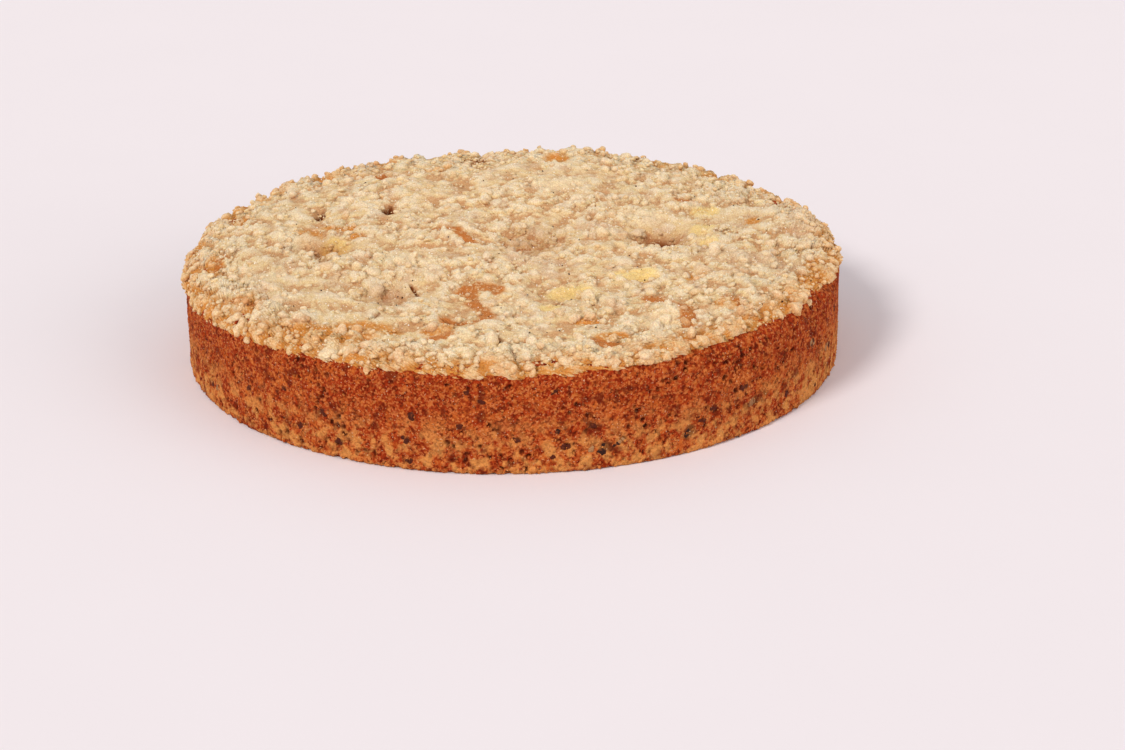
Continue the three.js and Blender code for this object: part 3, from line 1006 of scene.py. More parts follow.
@dataclass(frozen=True)
class Finish:
    """A real material: colour layers from the lowest up, and bumps from the broadest down.

    Fields are made in this order: the mesh's own values, height, grains, blends and ramps. sockets holds
    the shader's even settings and bumps holds fields with their depth in millimetres.
    """

    name: str
    base: str
    layers: tuple[Layer, ...]
    bumps: tuple[tuple[str, float], ...]
    sockets: dict[str, object]
    reads: tuple[str, ...] = ()
    grains: dict[str, Grain] = field(default_factory=dict)
    blends: dict[str, Blend] = field(default_factory=dict)
    ramps: dict[str, Ramp] = field(default_factory=dict)

    def fields(self, tree: bpy.types.NodeTree) -> dict[str, bpy.types.NodeSocket]:
        """Adds the nodes of every field.

        Args:
            tree: The material's node tree.

        Returns:
            The output socket of each field by name.
        """
        place = add_node(tree, "ShaderNodeTexCoord", {}, "Object")
        made = {"height": add_node(tree, "ShaderNodeSeparateXYZ", {"Vector": place}, "Z")}
        for label in self.reads:
            made[label] = add_node(tree, "ShaderNodeAttribute", {}, "Fac", attribute_name=label)
        for label, grain in self.grains.items():
            inputs = {"Vector": place, "Scale": 1.0 / (grain.size * METRES)}
            if grain.pattern is Pattern.NOISE:
                inputs |= {"Detail": grain.detail, "W": grain.shift}
                made[label] = add_node(tree, grain.pattern.value, inputs, "Fac", noise_dimensions="4D")
            else:
                made[label] = add_node(tree, grain.pattern.value, inputs, "Color")
        for label, blend in self.blends.items():
            inputs = {"Value": made[blend.by], "Value_001": blend.share, "Value_002": made[blend.base]}
            made[label] = add_node(tree, "ShaderNodeMath", inputs, "Value", operation="MULTIPLY_ADD")
        for label, ramp in self.ramps.items():
            inputs = {"Value": made[ramp.field], "From Min": ramp.low, "From Max": ramp.high}
            made[label] = add_node(tree, "ShaderNodeMapRange", inputs, "Result", **EASED)
        return made

    def material(self) -> bpy.types.Material:
        """Lays the colours and the bumps, and sets the shader's even settings."""
        made = bpy.data.materials.new(self.name)
        made.use_nodes = True
        tree = made.node_tree
        shader = tree.nodes["Principled BSDF"]
        fields = self.fields(tree)
        colour = linear(self.base)
        for layer in self.layers:
            inputs = {"Value": fields[layer.field], "From Min": layer.low, "From Max": layer.high}
            inputs["To Max"] = layer.strength
            share = add_node(tree, "ShaderNodeMapRange", inputs, "Result", **EASED)
            if layer.within:
                inputs = {"Value": share, "Value_001": fields[layer.within]}
                share = add_node(tree, "ShaderNodeMath", inputs, "Value", operation="MULTIPLY")
            inputs = {"Factor_Float": share, "A_Color": colour, "B_Color": linear(layer.colour)}
            settings = {"data_type": "RGBA", "blend_type": layer.blend}
            colour = add_node(tree, "ShaderNodeMix", inputs, "Result_Color", **settings)
        tree.links.new(colour, shader.inputs["Base Color"])
        under = {}
        for label, depth in self.bumps:
            inputs = {"Height": fields[label], "Distance": depth * METRES, "Strength": 1.0, **under}
            under = {"Normal": add_node(tree, "ShaderNodeBump", inputs, "Normal")}
        if under:
            tree.links.new(under["Normal"], shader.inputs["Normal"])
        for label, value in self.sockets.items():
            shader.inputs[label].default_value = value
        return made


# Baked flour, butter and sugar: dry and matt. Crests are painted pale cream over a darker bed, which is
# partly bed that took more colour and partly painted shade between crumbs. Light spreads a little way into
# it, which softens the shade between crumbs.
BUTTER_CRUMBLE = Finish(
    name="baked_butter_crumble",
    base="#EAD1A4",
    reads=("rise", "tint", "split", "dip", *(tone.value for tone in Tone)),
    grains={
        "uneven": Grain(1.6, 3.0),
        "broad": Grain(8.0, 3.0, 8.0),
        "blotch": Grain(1.3, 4.0, 6.0),
        "speckle": Grain(0.5, 1.0, 5.0),
        "lump": Grain(1.0, 3.0, 2.0),
        "crumb": Grain(0.4, 2.0, 3.0),
        "fleck": Grain(0.9, 4.0, 5.0),
    },
    blends={
        "crest": Blend("rise", "uneven", 0.55),
        "patchy": Blend("rise", "blotch", 1.9),
        "smear": Blend(Tone.BROWN.value, "patchy", -0.36),
    },
    ramps={"low": Ramp("patchy", 2.0, 1.4), "smeared": Ramp("smear", -0.67, -0.17)},
    layers=(
        # Floury parts stayed greyer than butter-rich ones.
        Layer("broad", 0.5, 0.64, 0.8, "#DABB9A"),
        Layer("broad", 0.5, 0.38, 0.7, "#EFD5A0"),
        # Colour by height above the surroundings: low places darker tan, and deeper golden in golden patches,
        # partly toasting and partly painted shade between crumbs; crests paler, a painted highlight.
        Layer("crest", 0.8, 0.47, 1.0, "#D2A577"),
        Layer("crest", 0.72, 0.46, 0.9, "#BE7C40", within=Tone.GOLDEN.value),
        Layer("crest", 0.83, 1.15, 0.85, "#F5E6C8"),
        Layer(Tone.CREAM.value, 0.0, 1.0, 0.6, "#F7E5BF"),
        # Single crumbs differ: some baked paler, some took more colour.
        Layer("tint", 0.6, 1.0, 0.5, "#F5E6C8"),
        Layer("tint", 0.4, 0.0, 0.35, "#D6AA7C"),
        # Fruit and caramel stain the bed more than the crests that stand clear of it. Rose is pinkish crust
        # and, in the valley near the middle, painted shade; the deeper golden in low places is partly painted
        # shade.
        Layer(Tone.ROSE.value, 0.0, 1.0, 0.5, "#E0C3A4"),
        Layer(Tone.GOLDEN.value, 0.0, 1.0, 0.6, "#E4A858"),
        Layer(Tone.GOLDEN.value, 0.0, 1.0, 0.9, "#D68F42", within="low"),
        Layer(Tone.YELLOW.value, 0.0, 1.0, 0.8, "#FBDF92"),
        Layer(Tone.BROWN.value, 0.0, 0.8, 0.95, "#D18D4A", within="smeared"),
        Layer("smear", -0.2, 0.25, 0.55, "#B86A32"),
        # Painted shade in the broad hollows, and darker painted shade in cracks and deep holes.
        Layer("dip", 0.0, 1.0, 0.85, "#CDAA90", blend="MULTIPLY"),
        Layer("split", 0.2, 0.8, 1.0, "#7E431C"),
        # Random darker specks in the crumble.
        Layer("speckle", 0.7, 0.3, 0.4, "#B98A5C", blend="MULTIPLY"),
        # Loose flour and the finest crumbs dust whatever lies below.
        Layer("fleck", 0.54, 0.66, 0.45, "#EED6AA"),
    ),
    bumps=(("lump", 0.3), ("crumb", 0.2)),
    sockets={
        "Roughness": 0.85,
        "Specular IOR Level": 0.12,
        "Subsurface Weight": 0.35,
        "Subsurface Radius": (1.0, 0.75, 0.5),
        "Subsurface Scale": 1.4 * METRES,
    },
)

# Carrot cake that browned against its tin: open, dry crumb, redder at the top edge and golden towards
# the foot, so it looks rough and warm. Its faces are lightened by painted light, its gaps and pits darkened
# by painted shade, and a few grains carry painted glints; the shader itself has no sheen.
BROWNED_SPONGE = Finish(
    name="browned_carrot_sponge",
    base="#A23812",
    reads=("pore", "stain", "tint"),
    grains={
        "broad": Grain(9.0, 3.0),
        "band": Grain(5.0),
        "gold": Grain(3.6, 4.0, 7.0),
        "cells": Grain(1.9, pattern=Pattern.CELLS),
        "motes": Grain(0.65, pattern=Pattern.CELLS),
        "fine": Grain(1.2, 4.0, 2.0),
        "blotch": Grain(4.2, 4.0, 9.0),
        "glint": Grain(0.5, 0.0, 4.0),
        "crumb": Grain(0.42, 2.0, 3.0),
    },
    blends={"level": Blend("height", "band", 6.0 * METRES), "soak": Blend("stain", "fine", 0.9)},
    ramps={"foot": Ramp("level", 0.026, 0.006)},
    layers=(
        Layer("broad", 0.5, 0.66, 0.5, "#C66A30"),
        Layer("broad", 0.5, 0.34, 0.6, "#8F2D0C"),
        Layer("level", 0.0245, 0.0355, 0.6, "#992F10"),
        # Golden patches, stronger towards the foot.
        Layer("gold", 0.42, 0.6, 0.72, "#D9954F", within="foot"),
        # Cells and noise make some crumbs lighter and spots between them nearly black-brown: partly the
        # crumb's own uneven colour, partly painted light on crumb faces and painted shade in the gaps.
        Layer("cells", 0.56, 0.8, 0.4, "#C76A2A"),
        Layer("cells", 0.44, 0.2, 0.45, "#84270A"),
        Layer("motes", 0.56, 0.8, 0.5, "#D4844A"),
        Layer("motes", 0.42, 0.22, 0.6, "#6C1B05"),
        Layer("fine", 0.54, 0.66, 0.5, "#CB7434"),
        Layer("fine", 0.46, 0.34, 0.85, "#581705"),
        # Dark blotches of the crumb's own colour, and more golden patches towards the foot.
        Layer("blotch", 0.56, 0.66, 0.8, "#641B08"),
        Layer("gold", 0.44, 0.6, 0.5, "#DB9852", within="foot"),
        # Painted shade in the pits that the mesh pushes in, then juice stain round the fruit and nut.
        Layer("pore", 0.12, 0.7, 0.9, "#431206"),
        Layer("soak", 0.8, 1.25, 0.7, "#47200F"),
        # Side crumbs differ at random, and a few grains carry painted glints.
        Layer("tint", 0.6, 1.0, 0.6, "#DB8C4A"),
        Layer("tint", 0.4, 0.0, 0.6, "#8C2F0C"),
        Layer("glint", 0.72, 0.8, 0.5, "#E9C6A0"),
    ),
    bumps=(("fine", 0.6), ("crumb", 0.25)),
    sockets={"Roughness": 0.8, "Specular IOR Level": 0.06},
)

# Raisins and walnut baked into the side: near-black wrinkled skins, some of them brown or grey-tan.
DRIED_FRUIT = Finish(
    name="dried_fruit_and_nut",
    base="#2E1712",
    reads=("tint",),
    grains={"wrinkle": Grain(0.9, 3.0), "sheen": Grain(2.2, 2.0, 2.0)},
    layers=(
        Layer("tint", 0.05, 0.3, 1.0, "#4E1C0E"),
        Layer("tint", 0.8, 0.88, 1.0, "#A87C54"),
        Layer("wrinkle", 0.5, 0.72, 0.5, "#8E4A24"),
        Layer("sheen", 0.55, 0.75, 0.3, "#5E3826"),
    ),
    bumps=(("wrinkle", 0.4),),
    sockets={"Roughness": 0.75, "Specular IOR Level": 0.15},
)

# Grains of sugar that didn't melt: nearly white and smooth, so that single faces glint.
SUGAR_CRYSTAL = Finish(
    name="sugar_crystal",
    base="#FFF8EC",
    grains={"cloud": Grain(0.3)},
    layers=(Layer("cloud", 0.3, 0.7, 0.3, "#F2DDB8"),),
    bumps=(("cloud", 0.02),),
    sockets={"Roughness": 0.18, "Specular IOR Level": 0.6},
)

# Ground spice in the crumble: dark, dry specks.
GROUND_SPICE = Finish(
    name="ground_spice",
    base="#3B2316",
    grains={"husk": Grain(0.4)},
    layers=(Layer("husk", 0.4, 0.7, 0.5, "#6B4226"),),
    bumps=(("husk", 0.03),),
    sockets={"Roughness": 0.85, "Specular IOR Level": 0.2},
)

# Seamless background paper: faintly cool and quite matt. Its tooth is too fine to see as a pattern.
STUDIO_PAPER = Finish(
    name="studio_paper",
    base="#EEE9EF",
    grains={"cloud": Grain(60.0), "tooth": Grain(1.0)},
    layers=(Layer("cloud", 0.3, 0.7, 0.3, "#ECE7ED"),),
    bumps=(("tooth", 0.02),),
    sockets={"Roughness": 0.9, "Specular IOR Level": 0.2},
)


def dress(piece: bpy.types.Object, material: bpy.types.Material) -> bpy.types.Object:
    """Gives a piece its material and its body, and reports it.

    Args:
        piece: The finished mesh object.
        material: Its finish.

    Returns:
        The same piece.
    """
    piece.data.materials.append(material)
    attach(piece, "root")
    LOG.info("%s: %d triangles", piece.name, len(piece.data.polygons))
    return piece


# The pieces.


@dataclass(frozen=True)
class SideBits:
    """Fruit and nut that show in the side: angle from the front in degrees, height, radius and tint."""

    cake: CakeForm
    shown: tuple[tuple[float, float, float, float], ...] = (
        (14.3, 8.0, 3.2, 0.0), (15.2, 7.6, 2.9, 0.0), (17.3, 9.6, 2.2, 0.9), (12.1, 7.4, 1.6, 0.95),
        (6.1, 28.1, 1.2, 0.2), (-7.7, 28.2, 1.3, 0.3), (-5.6, 25.1, 1.6, 0.4), (-16.5, 18.7, 1.9, 0.2),
        (-17.6, 10.6, 1.9, 0.2), (-9.0, 16.4, 1.8, 0.5), (0.3, 12.2, 1.6, 0.3), (6.8, 14.7, 1.1, 0.1),
        (12.0, 15.6, 1.5, 0.5), (-17.4, 3.1, 1.3, 0.2), (7.8, 9.5, 1.6, 0.5), (5.8, 5.6, 1.1, 0.4),
        (29.3, 8.1, 3.2, 0.0), (28.6, 6.4, 2.2, 0.02), (31.9, 10.8, 1.8, 0.3), (34.0, 13.5, 2.2, 0.5),
        (43.3, 11.3, 2.8, 0.85), (41.0, 17.5, 2.0, 0.3), (52.0, 8.5, 1.8, 0.4), (-37.7, 8.5, 2.0, 0.3),
        (-29.5, 6.0, 1.8, 0.3), (-49.8, 14.6, 1.6, 0.5), (-33.0, 15.5, 1.8, 0.45), (-41.0, 20.0, 1.4, 0.3),
    )
    scattered: int = 64
    # Between which limits the scattered bits' angles, heights, radii and tints lie.
    spans: tuple[tuple[float, float], ...] = ((60.0, 300.0), (3.0, 28.0), (0.7, 2.4), (0.0, 1.0))
    parts: int = 3
    part_share: tuple[float, float] = (0.4, 0.85)
    # How far the parts lie from the bit's middle, in radii, and how much less of that is up or down.
    apart: float = 0.7
    upward: float = 0.7
    off_floor: float = 1.2
    flatness: float = 0.45
    proud: float = 0.3
    stain_reach: float = 0.8

    def places(self) -> tuple[Array, Array, Array, Array]:
        """The listed bits, then those scattered round the rest of the side.

        Returns:
            Angles in radians from +X, heights and radii in millimetres, and tints from 0 to 1.
        """
        draw = np.random.default_rng(7)
        rest = np.stack([draw.uniform(low, high, self.scattered) for low, high in self.spans], -1)
        angle, height, radius, tint = np.concatenate([np.array(self.shown), rest]).T
        return np.radians(angle - 90.0), height, radius, tint

    def stain(self, points: Array) -> Array:
        """How much juice each point took: the largest exp(-d^2), where d is a bit's distance in radii."""
        most = np.zeros(points.shape[:-1])
        for angle, height, radius, _ in np.stack(self.places(), -1):
            middle = np.array([self.cake.radius * np.cos(angle), self.cake.radius * np.sin(angle), height])
            apart = np.sum((points - middle) ** 2, axis=-1) / (self.stain_reach * radius) ** 2
            np.maximum(most, np.exp(-apart), out=most)
        return most

    def build(self) -> bpy.types.Object:
        """Each bit as a few knobbly lumps run together, flattened and standing a little proud of the side."""
        draw = np.random.default_rng(8)
        angle, height, radius, tint = (np.repeat(value, self.parts) for value in self.places())
        aside, above = draw.uniform(-self.apart, self.apart, (2, len(radius))) * radius
        radius = radius * draw.uniform(*self.part_share, len(radius))
        angle = angle + aside / self.cake.radius
        height = np.maximum(height + self.upward * above, self.off_floor * radius)
        shapes, triangles = lumps(1, radius, draw)
        outward = np.stack([np.cos(angle), np.sin(angle), np.zeros(len(angle))], -1)
        flat = flattened(shapes, outward, self.flatness)
        depth = self.cake.radius + self.proud - self.flatness * radius
        middle = outward * depth[:, None] + np.array([0.0, 0.0, 1.0]) * height[:, None]
        points, joined = join_lumps(flat + middle[:, None], triangles)
        return make_piece("fruit_and_nut", points, joined, {"tint": np.repeat(tint, shapes.shape[1])})


@dataclass(frozen=True)
class Sponge:
    """The cake body: flat underside, upright side of open crumb and a rounded shoulder.

    Widths are the cells that pores and grains lie in, one to a cell, and depths and heights are how far
    they go in or out. A pit's span is where it begins and where it is deepest, as shares of its cell.
    """

    cake: CakeForm
    bits: SideBits
    columns: int = 1280
    row_height: float = 0.5
    shoulder_rows: int = 13
    shoulder_inner: float = 106.5
    shoulder_sink: float = 0.2
    hidden_top: float = 29.5
    wave: Ripple = Ripple(0.35, 8.0, 10)
    patchiness: Ripple = Ripple(1.0, 10.0, 11)
    patchy_span: tuple[float, float] = (-0.5, 0.45)
    pit_width: float = 3.3
    pit_depth: float = 1.05
    pit_span: tuple[float, float] = (0.46, 0.12)
    small_pit_width: float = 1.9
    small_pit_depth: float = 0.5
    small_pit_span: tuple[float, float] = (0.42, 0.12)
    small_pit_least: float = 0.15
    grain_width: float = 1.3
    grain_height: float = 0.4
    grain_reach: float = 0.75
    underside_inner: float = 70.0
    foot_round: float = 0.6
    foot_step: tuple[float, float] = (0.35, 0.5)
    hidden_radii: tuple[float, float] = (104.0, 60.0)

    def profile(self) -> tuple[Array, Array]:
        """Radius and height of each row, from the underside up the side and over the shoulder.

        The first two rows belong to the underside, and the last two lie hidden under the topping.

        Returns:
            Radii and heights in millimetres.
        """
        cake = self.cake
        side = np.arange(cake.foot_height, cake.side_height, self.row_height)
        flat = [[self.underside_inner, 0.0], [cake.radius - cake.foot_inset - self.foot_round, 0.0]]
        foot = [*flat, [cake.radius - self.foot_step[0], self.foot_step[1]]]
        turn = np.linspace(0.0, 1.0, self.shoulder_rows)
        # Steps that shorten towards the rim keep the points even along the curve.
        reach = self.shoulder_inner + (cake.radius - self.shoulder_inner) * (1.0 - turn**2.2)
        over = np.stack([reach, cake.shoulder(reach) - self.shoulder_sink], -1)
        under = [[radius, self.hidden_top] for radius in self.hidden_radii]
        rows = np.concatenate([foot, np.stack([np.full(side.shape, cake.radius), side], -1), over, under])
        return rows[:, 0], rows[:, 1]

    def pores(self, places: Array) -> tuple[Array, Array]:
        """Depth of the pores of the open crumb, and the height of its grains, at each place.

        A pore is a bowl where the nearest site of a cell field is close. Two sizes are added, and a broad
        noise makes them come in patches. A grain is a dome round the sites of a finer field.

        Args:
            places: Points in millimetres.

        Returns:
            Pore depth from 0 to 1 and grain height from 0 to 1.
        """
        patchy = smoothstep(*self.patchy_span, self.patchiness.at(places))
        wide = smoothstep(*self.pit_span, nearest_site(places / self.pit_width, 12)) * patchy
        narrow = smoothstep(*self.small_pit_span, nearest_site(places / self.small_pit_width, 13))
        narrow *= self.small_pit_least + (1.0 - self.small_pit_least) * patchy
        grain = np.clip(1.0 - (nearest_site(places / self.grain_width, 14) / self.grain_reach) ** 2, 0.0, 1.0)
        depth = self.pit_depth * wide + self.small_pit_depth * narrow
        return depth / (self.pit_depth + self.small_pit_depth), grain

    def build(self) -> bpy.types.Object:
        """A surface of revolution of the profile, pushed in and out along its normals by the crumb."""
        radii, heights = self.profile()
        angle = np.linspace(0.0, 2.0 * math.pi, self.columns, endpoint=False)
        ring = np.stack([np.cos(angle), np.sin(angle)], -1)
        rows = len(radii)
        base = np.zeros((rows, self.columns, 3))
        base[..., :2] = radii[:, None, None] * ring
        base[..., 2] = heights[:, None]
        shoulder = slice(rows - 2 - self.shoulder_rows, rows - 2)
        base[shoulder, :, 2] += self.cake.uneven(base[shoulder, :, :2])
        slope = np.gradient(np.stack([radii, heights], -1), axis=0)
        out = np.stack([slope[:, 1], -slope[:, 0]], -1)
        out /= np.linalg.norm(out, axis=1, keepdims=True)
        pore, grain = self.pores(base)
        shown = np.ones((rows, 1))
        shown[[0, 1, -1, -2]] = 0.0
        stain = self.bits.stain(base)
        depth = self.pit_depth + self.small_pit_depth
        push = (self.wave.at(base) + (self.grain_height * grain - depth * pore) * (1.0 - stain)) * shown
        base[..., :2] += (push * out[:, 0, None])[..., None] * ring
        base[..., 2] = np.maximum(base[..., 2] + push * out[:, 1, None], 0.0)
        index = np.arange(rows * self.columns).reshape(rows, self.columns)
        following = np.roll(index, -1, axis=1)
        a, b, c, d = (s.ravel() for s in (index[:-1], following[:-1], following[1:], index[1:]))
        walls = [np.stack([a, b, c], -1), np.stack([a, c, d], -1)]
        ends = [fan_triangles(index[0], index.size, False), fan_triangles(index[-1], index.size + 1, True)]
        points = np.concatenate([base.reshape(-1, 3), [[0, 0, 0], [0, 0, self.hidden_top]]])
        # Pore depth, which the finish also paints as shade.
        values = {"pore": pore * shown, "stain": stain, "tint": np.full(pore.shape, 0.5)}
        attributes = {label: np.append(value.ravel(), [0.0, 0.0]) for label, value in values.items()}
        return make_piece("sponge_crumb", points, np.concatenate(walls + ends), attributes)


@dataclass(frozen=True)
class SideCrumbs:
    """Small crumbs that cling to the side, and larger ones along its bottom edge."""

    cake: CakeForm
    on_side: int = 6400
    on_foot: int = 620
    side_sizes: tuple[float, float] = (0.3, 0.8)
    side_heights: tuple[float, float] = (1.0, 31.5)
    foot_sizes: tuple[float, float] = (0.6, 1.35)
    foot_stand: tuple[float, float] = (0.9, 1.8)
    side_tints: tuple[float, float] = (0.1, 1.0)
    foot_tints: tuple[float, float] = (0.55, 1.0)
    sink: float = 0.25
    side_inset: float = 0.15
    foot_inset: float = 0.3

    def build(self) -> bpy.types.Object:
        """Twenty-sided grains half sunk in the side, and larger ones round the foot."""
        draw = np.random.default_rng(21)
        count = self.on_side + self.on_foot
        turn = draw.uniform(0.0, 2.0 * math.pi, count)
        foot = np.arange(count) >= self.on_side
        radius = np.where(foot, draw.uniform(*self.foot_sizes, count), draw.uniform(*self.side_sizes, count))
        foot_height = radius * draw.uniform(*self.foot_stand, count)
        height = np.where(foot, foot_height, draw.uniform(*self.side_heights, count))
        reach = self.cake.radius - self.sink * radius - np.where(foot, self.foot_inset, self.side_inset)
        middle = np.stack([reach * np.cos(turn), reach * np.sin(turn), height], -1)
        shapes, triangles = lumps(0, radius, draw)
        shapes = shapes + middle[:, None]
        shapes[..., 2] = np.maximum(shapes[..., 2], 0.0)
        points, joined = join_lumps(shapes, triangles)
        tint = np.where(foot, draw.uniform(*self.foot_tints, count), draw.uniform(*self.side_tints, count))
        none = np.zeros(len(points))
        values = {"pore": none, "stain": none, "tint": np.repeat(tint, shapes.shape[1])}
        return make_piece("side_crumbs", points, joined, values)


@dataclass(frozen=True)
class ToppingBed:
    """The fused mass of the topping, as one closed sheet whose edge sinks into the sponge's side.

    What stands full_stand above the average of its surroundings is a crest, painted as pale as can be, and
    lower
    places are painted darker: a painted highlight and painted shade, partly also the toasted bed.
    """

    form: ToppingForm
    rings: int = 172
    reach: float = 121.5
    underside: float = 26.0
    near_rounds: int = 26
    full_stand: float = 0.9
    tint: Ripple = Ripple(0.3, 3.0, 53)

    def build(self) -> bpy.types.Object:
        """A disc of even rings wrapped over the cake's outline, closed by a flat underside in the sponge."""
        counts = np.maximum(1, 6 * np.arange(self.rings + 1))
        ring = np.repeat(np.arange(self.rings + 1), counts)
        order = np.arange(len(ring)) - np.repeat(np.cumsum(counts) - counts, counts)
        angle = 2.0 * math.pi * order / np.maximum(1, 6 * ring) + 0.5 * ring * 2.0 * math.pi / self.rings
        arc = self.reach * ring / self.rings
        places = np.stack([arc * np.cos(angle), arc * np.sin(angle)], -1)
        top = disc_triangles(self.rings)
        stand = relative_height(self.form.body(places), top, self.near_rounds)
        skin = self.form.skin(places, self.form.thickness(places))
        points = np.concatenate([skin, [[0.0, 0.0, self.underside]]])
        rim = np.arange(len(ring) - 6 * self.rings, len(ring))
        triangles = np.concatenate([top, fan_triangles(rim, len(ring), False)])
        # Height above the surroundings, which the finish paints as light on crests and shade in crevices.
        rise = np.clip(0.5 + 0.5 * stand / self.full_stand, 0.0, 1.0)
        values = {"rise": rise, "tint": 0.5 + self.tint.at(places), **self.form.values(places)}
        attributes = {label: np.append(value, 0.0) for label, value in values.items()}
        return make_piece("topping_bed", points, triangles, attributes)


@dataclass(frozen=True)
class Crumbs:
    """All the loose and half-sunk crumbs of one size.

    flatness is a crumb's thickness as a share of its width, sink is how many radii it lies in the bed, and
    stain is how much of the bed's tones it took. Within sparse_within of the middle, sparse_keep of the
    crumbs are kept, and all of them from dense_from outwards. shading is how much paler its top is painted
    and how much darker its underside, a painted highlight and painted shade.
    """

    form: ToppingForm
    size: CrumbSize
    placed: tuple[tuple[float, float, float], ...] = ()
    reach: float = 119.0
    flatness: float = 0.82
    sink: float = 0.35
    stain: float = 0.52
    sparse_keep: float = 0.75
    sparse_within: float = 72.0
    dense_from: float = 98.0
    edge_span: tuple[float, float] = (1.0, -0.6)
    inside_share: float = 0.7
    overhang: float = 0.3
    shading: float = 0.35

    def sites(self, draw: np.random.Generator) -> tuple[Array, Array]:
        """Where the crumbs are, thinned where the bed shows, away from the rim and beyond the edge.

        Args:
            draw: The source of random numbers.

        Returns:
            Places on the rolled-out skin, and radii.
        """
        lattice = CRUMBS[self.size]
        places, radius = lattice.sites(self.reach)
        arc = distance(places)
        beyond = arc + self.inside_share * radius - self.form.edge(places)
        rim = smoothstep(self.sparse_within, self.dense_from, arc)
        keep = self.form.rubble(places) * smoothstep(*self.edge_span, beyond)
        thinned = self.sparse_keep + (1.0 - self.sparse_keep) * rim
        kept = draw.random(len(arc)) < keep * lattice.loose * thinned
        places, radius = places[kept], radius[kept]
        if self.placed:
            listed, size = np.array(self.placed)[:, :2], np.array(self.placed)[:, 2]
            stretch = self.form.cake.outline.arc_at_radius(distance(listed)) / distance(listed)
            rolled = listed * stretch[:, None]
            inside = distance(rolled) < self.form.edge(rolled) + self.overhang * size
            places, radius = np.concatenate([places, rolled[inside]]), np.append(radius, size[inside])
        return places, radius

    def build(self) -> bpy.types.Object:
        """Lumps at the lattice's own places, flattened and sunk into what is below."""
        lattice = CRUMBS[self.size]
        draw = np.random.default_rng(lattice.seed)
        places, radius = self.sites(draw)
        shapes, triangles = lumps(lattice.level, radius, draw)
        floor = np.maximum(self.form.thickness(places), 0.0)
        middle = self.form.skin(places, floor - self.sink * radius)
        outward = self.form.skin(places, floor + 1.0) - self.form.skin(places, floor)
        local = np.einsum("nvj,nj->nv", shapes, outward) / radius[:, None]
        points, joined = join_lumps(flattened(shapes, outward, self.flatness) + middle[:, None], triangles)
        values = self.form.values(places)
        values |= {tone.value: self.stain * values[tone.value] for tone in Tone}
        values |= {"split": np.zeros(len(radius)), "tint": draw.random(len(radius))}
        attributes = {label: np.repeat(value, shapes.shape[1]) for label, value in values.items()}
        # Painted highlight and shade: each crumb's top is paler and its underside darker.
        attributes["rise"] = np.clip(0.5 + self.shading * local.ravel(), 0.0, 1.0)
        return make_piece(self.size.value, points, joined, attributes)


@dataclass(frozen=True)
class Grains:
    """Tiny grains strewn on the topping, such as sugar or spice."""

    form: ToppingForm
    name: str
    count: int
    smallest: float
    largest: float
    seed: int
    reach: float = 112.0
    lift: float = 0.2

    def build(self) -> bpy.types.Object:
        """Twenty-sided grains at random places, resting on the surface."""
        draw = np.random.default_rng(self.seed)
        angle = draw.uniform(0.0, 2.0 * math.pi, self.count)
        reach = self.reach * np.sqrt(draw.random(self.count))
        places = np.stack([reach * np.cos(angle), reach * np.sin(angle)], -1)
        radius = draw.uniform(self.smallest, self.largest, self.count)
        shapes, triangles = lumps(0, radius, draw)
        middle = self.form.skin(places, self.form.thickness(places) + self.lift * radius)
        points, joined = join_lumps(shapes + middle[:, None], triangles)
        return make_piece(self.name, points, joined, {})


# The studio.


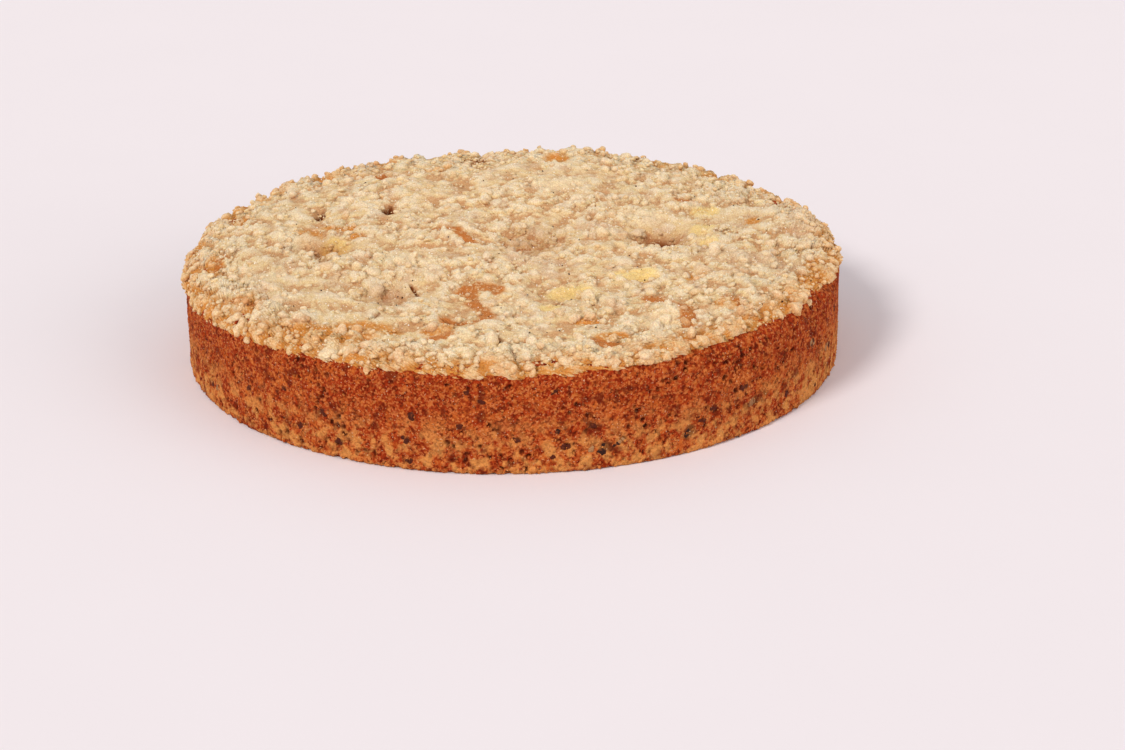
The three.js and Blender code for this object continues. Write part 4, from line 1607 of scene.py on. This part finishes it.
@dataclass(frozen=True)
class Studio:
    """Plain paper, soft light and the camera where the photograph was taken from."""

    camera_place: tuple[float, float, float] = (0.06, -886.94, 351.03)
    yaw: float = 1.10
    pitch: float = 22.30
    roll: float = -0.626
    lens: float = 85.44
    floor_size: float = 12000.0
    key_strength: float = 1.85
    key_softness: float = 16.0
    key_from: tuple[float, float, float] = (-0.68, -0.78, 0.85)
    fill_strength: float = 1.05
    fill_softness: float = 60.0
    fill_from: tuple[float, float, float] = (1.0, -0.6, 0.4)
    light_colour: str = "#FFF9F2"
    world: str = "#FFFAF9"
    world_strength: float = 0.57

    def floor(self) -> None:
        """Lays a wide sheet of paper at the height of the cake's underside."""
        half = self.floor_size / 2.0
        corners = np.array([[-half, -half, 0.0], [half, -half, 0.0], [half, half, 0.0], [-half, half, 0.0]])
        sheet = make_piece("paper_floor", corners, np.array([[0, 1, 2], [0, 2, 3]]), {})
        sheet.data.materials.append(STUDIO_PAPER.material())

    def camera(self) -> None:
        """Adds the camera, turned by yaw, then pitched down, then rolled about its own axis."""
        yaw, pitch, roll = (math.radians(a) for a in (self.yaw, self.pitch, self.roll))
        forward = Vector((math.sin(yaw) * math.cos(pitch), math.cos(yaw) * math.cos(pitch), -math.sin(pitch)))
        level = Vector((math.cos(yaw), -math.sin(yaw), 0.0))
        upright = level.cross(forward)
        right = math.cos(roll) * level + math.sin(roll) * upright
        up = math.cos(roll) * upright - math.sin(roll) * level
        data = bpy.data.cameras.new("camera")
        data.lens = self.lens
        data.clip_start = 0.01
        eye = bpy.data.objects.new("camera", data)
        facing = Matrix((right, up, -forward)).transposed().to_4x4()
        eye.matrix_world = Matrix.Translation(Vector(self.camera_place) * METRES) @ facing
        bpy.context.scene.collection.objects.link(eye)
        bpy.context.scene.camera = eye

    def light(self, name: str, origin: tuple[float, float, float], strength: float, softness: float) -> None:
        """Adds an even light from far away.

        Args:
            name: The lamp's name.
            origin: The direction that the light comes from.
            strength: Its strength in watts per square metre.
            softness: Its width in degrees, which sets how soft its shadows are.
        """
        data = bpy.data.lights.new(name, "SUN")
        data.energy = strength
        data.angle = math.radians(softness)
        data.color = linear(self.light_colour)[:3]
        lamp = bpy.data.objects.new(name, data)
        lamp.rotation_euler = Vector(origin).to_track_quat("Z", "Y").to_euler()
        bpy.context.scene.collection.objects.link(lamp)

    def build(self) -> None:
        """Sets up the floor, the camera, the lights and plain colour handling."""
        self.camera()
        self.floor()
        self.light("key", self.key_from, self.key_strength, self.key_softness)
        self.light("fill", self.fill_from, self.fill_strength, self.fill_softness)
        world = bpy.data.worlds.new("studio")
        world.use_nodes = True
        background = world.node_tree.nodes["Background"]
        background.inputs["Color"].default_value = linear(self.world)
        background.inputs["Strength"].default_value = self.world_strength
        bpy.context.scene.world = world
        bpy.context.scene.view_settings.view_transform = "Standard"
        LOG.info("studio ready")


def main() -> None:
    """Builds the studio, the sponge and the topping."""
    logging.basicConfig(level=logging.INFO, format="%(message)s")
    Studio().build()
    cake = CakeForm()
    form = ToppingForm(cake, ToppingMap())
    sponge_finish, crumble = BROWNED_SPONGE.material(), BUTTER_CRUMBLE.material()
    bits = SideBits(cake)

    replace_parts(dress(Sponge(cake, bits).build(), sponge_finish), "sponge")
    dress(bits.build(), DRIED_FRUIT.material())
    dress(SideCrumbs(cake).build(), sponge_finish)
    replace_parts(dress(ToppingBed(form).build(), crumble), "crumb_topping")
    for size in CrumbSize:
        placed = PLACED_CLUMPS if size is CrumbSize.CLUMP else ()
        dress(Crumbs(form, size, placed=placed).build(), crumble)
    sugar = Grains(form, "sugar_grains", 1500, 0.16, 0.32, 301)
    dress(sugar.build(), SUGAR_CRYSTAL.material())
    spice = Grains(form, "spice_specks", 150, 0.18, 0.38, 302)
    dress(spice.build(), GROUND_SPICE.material())


if __name__ == "__main__":
    main()
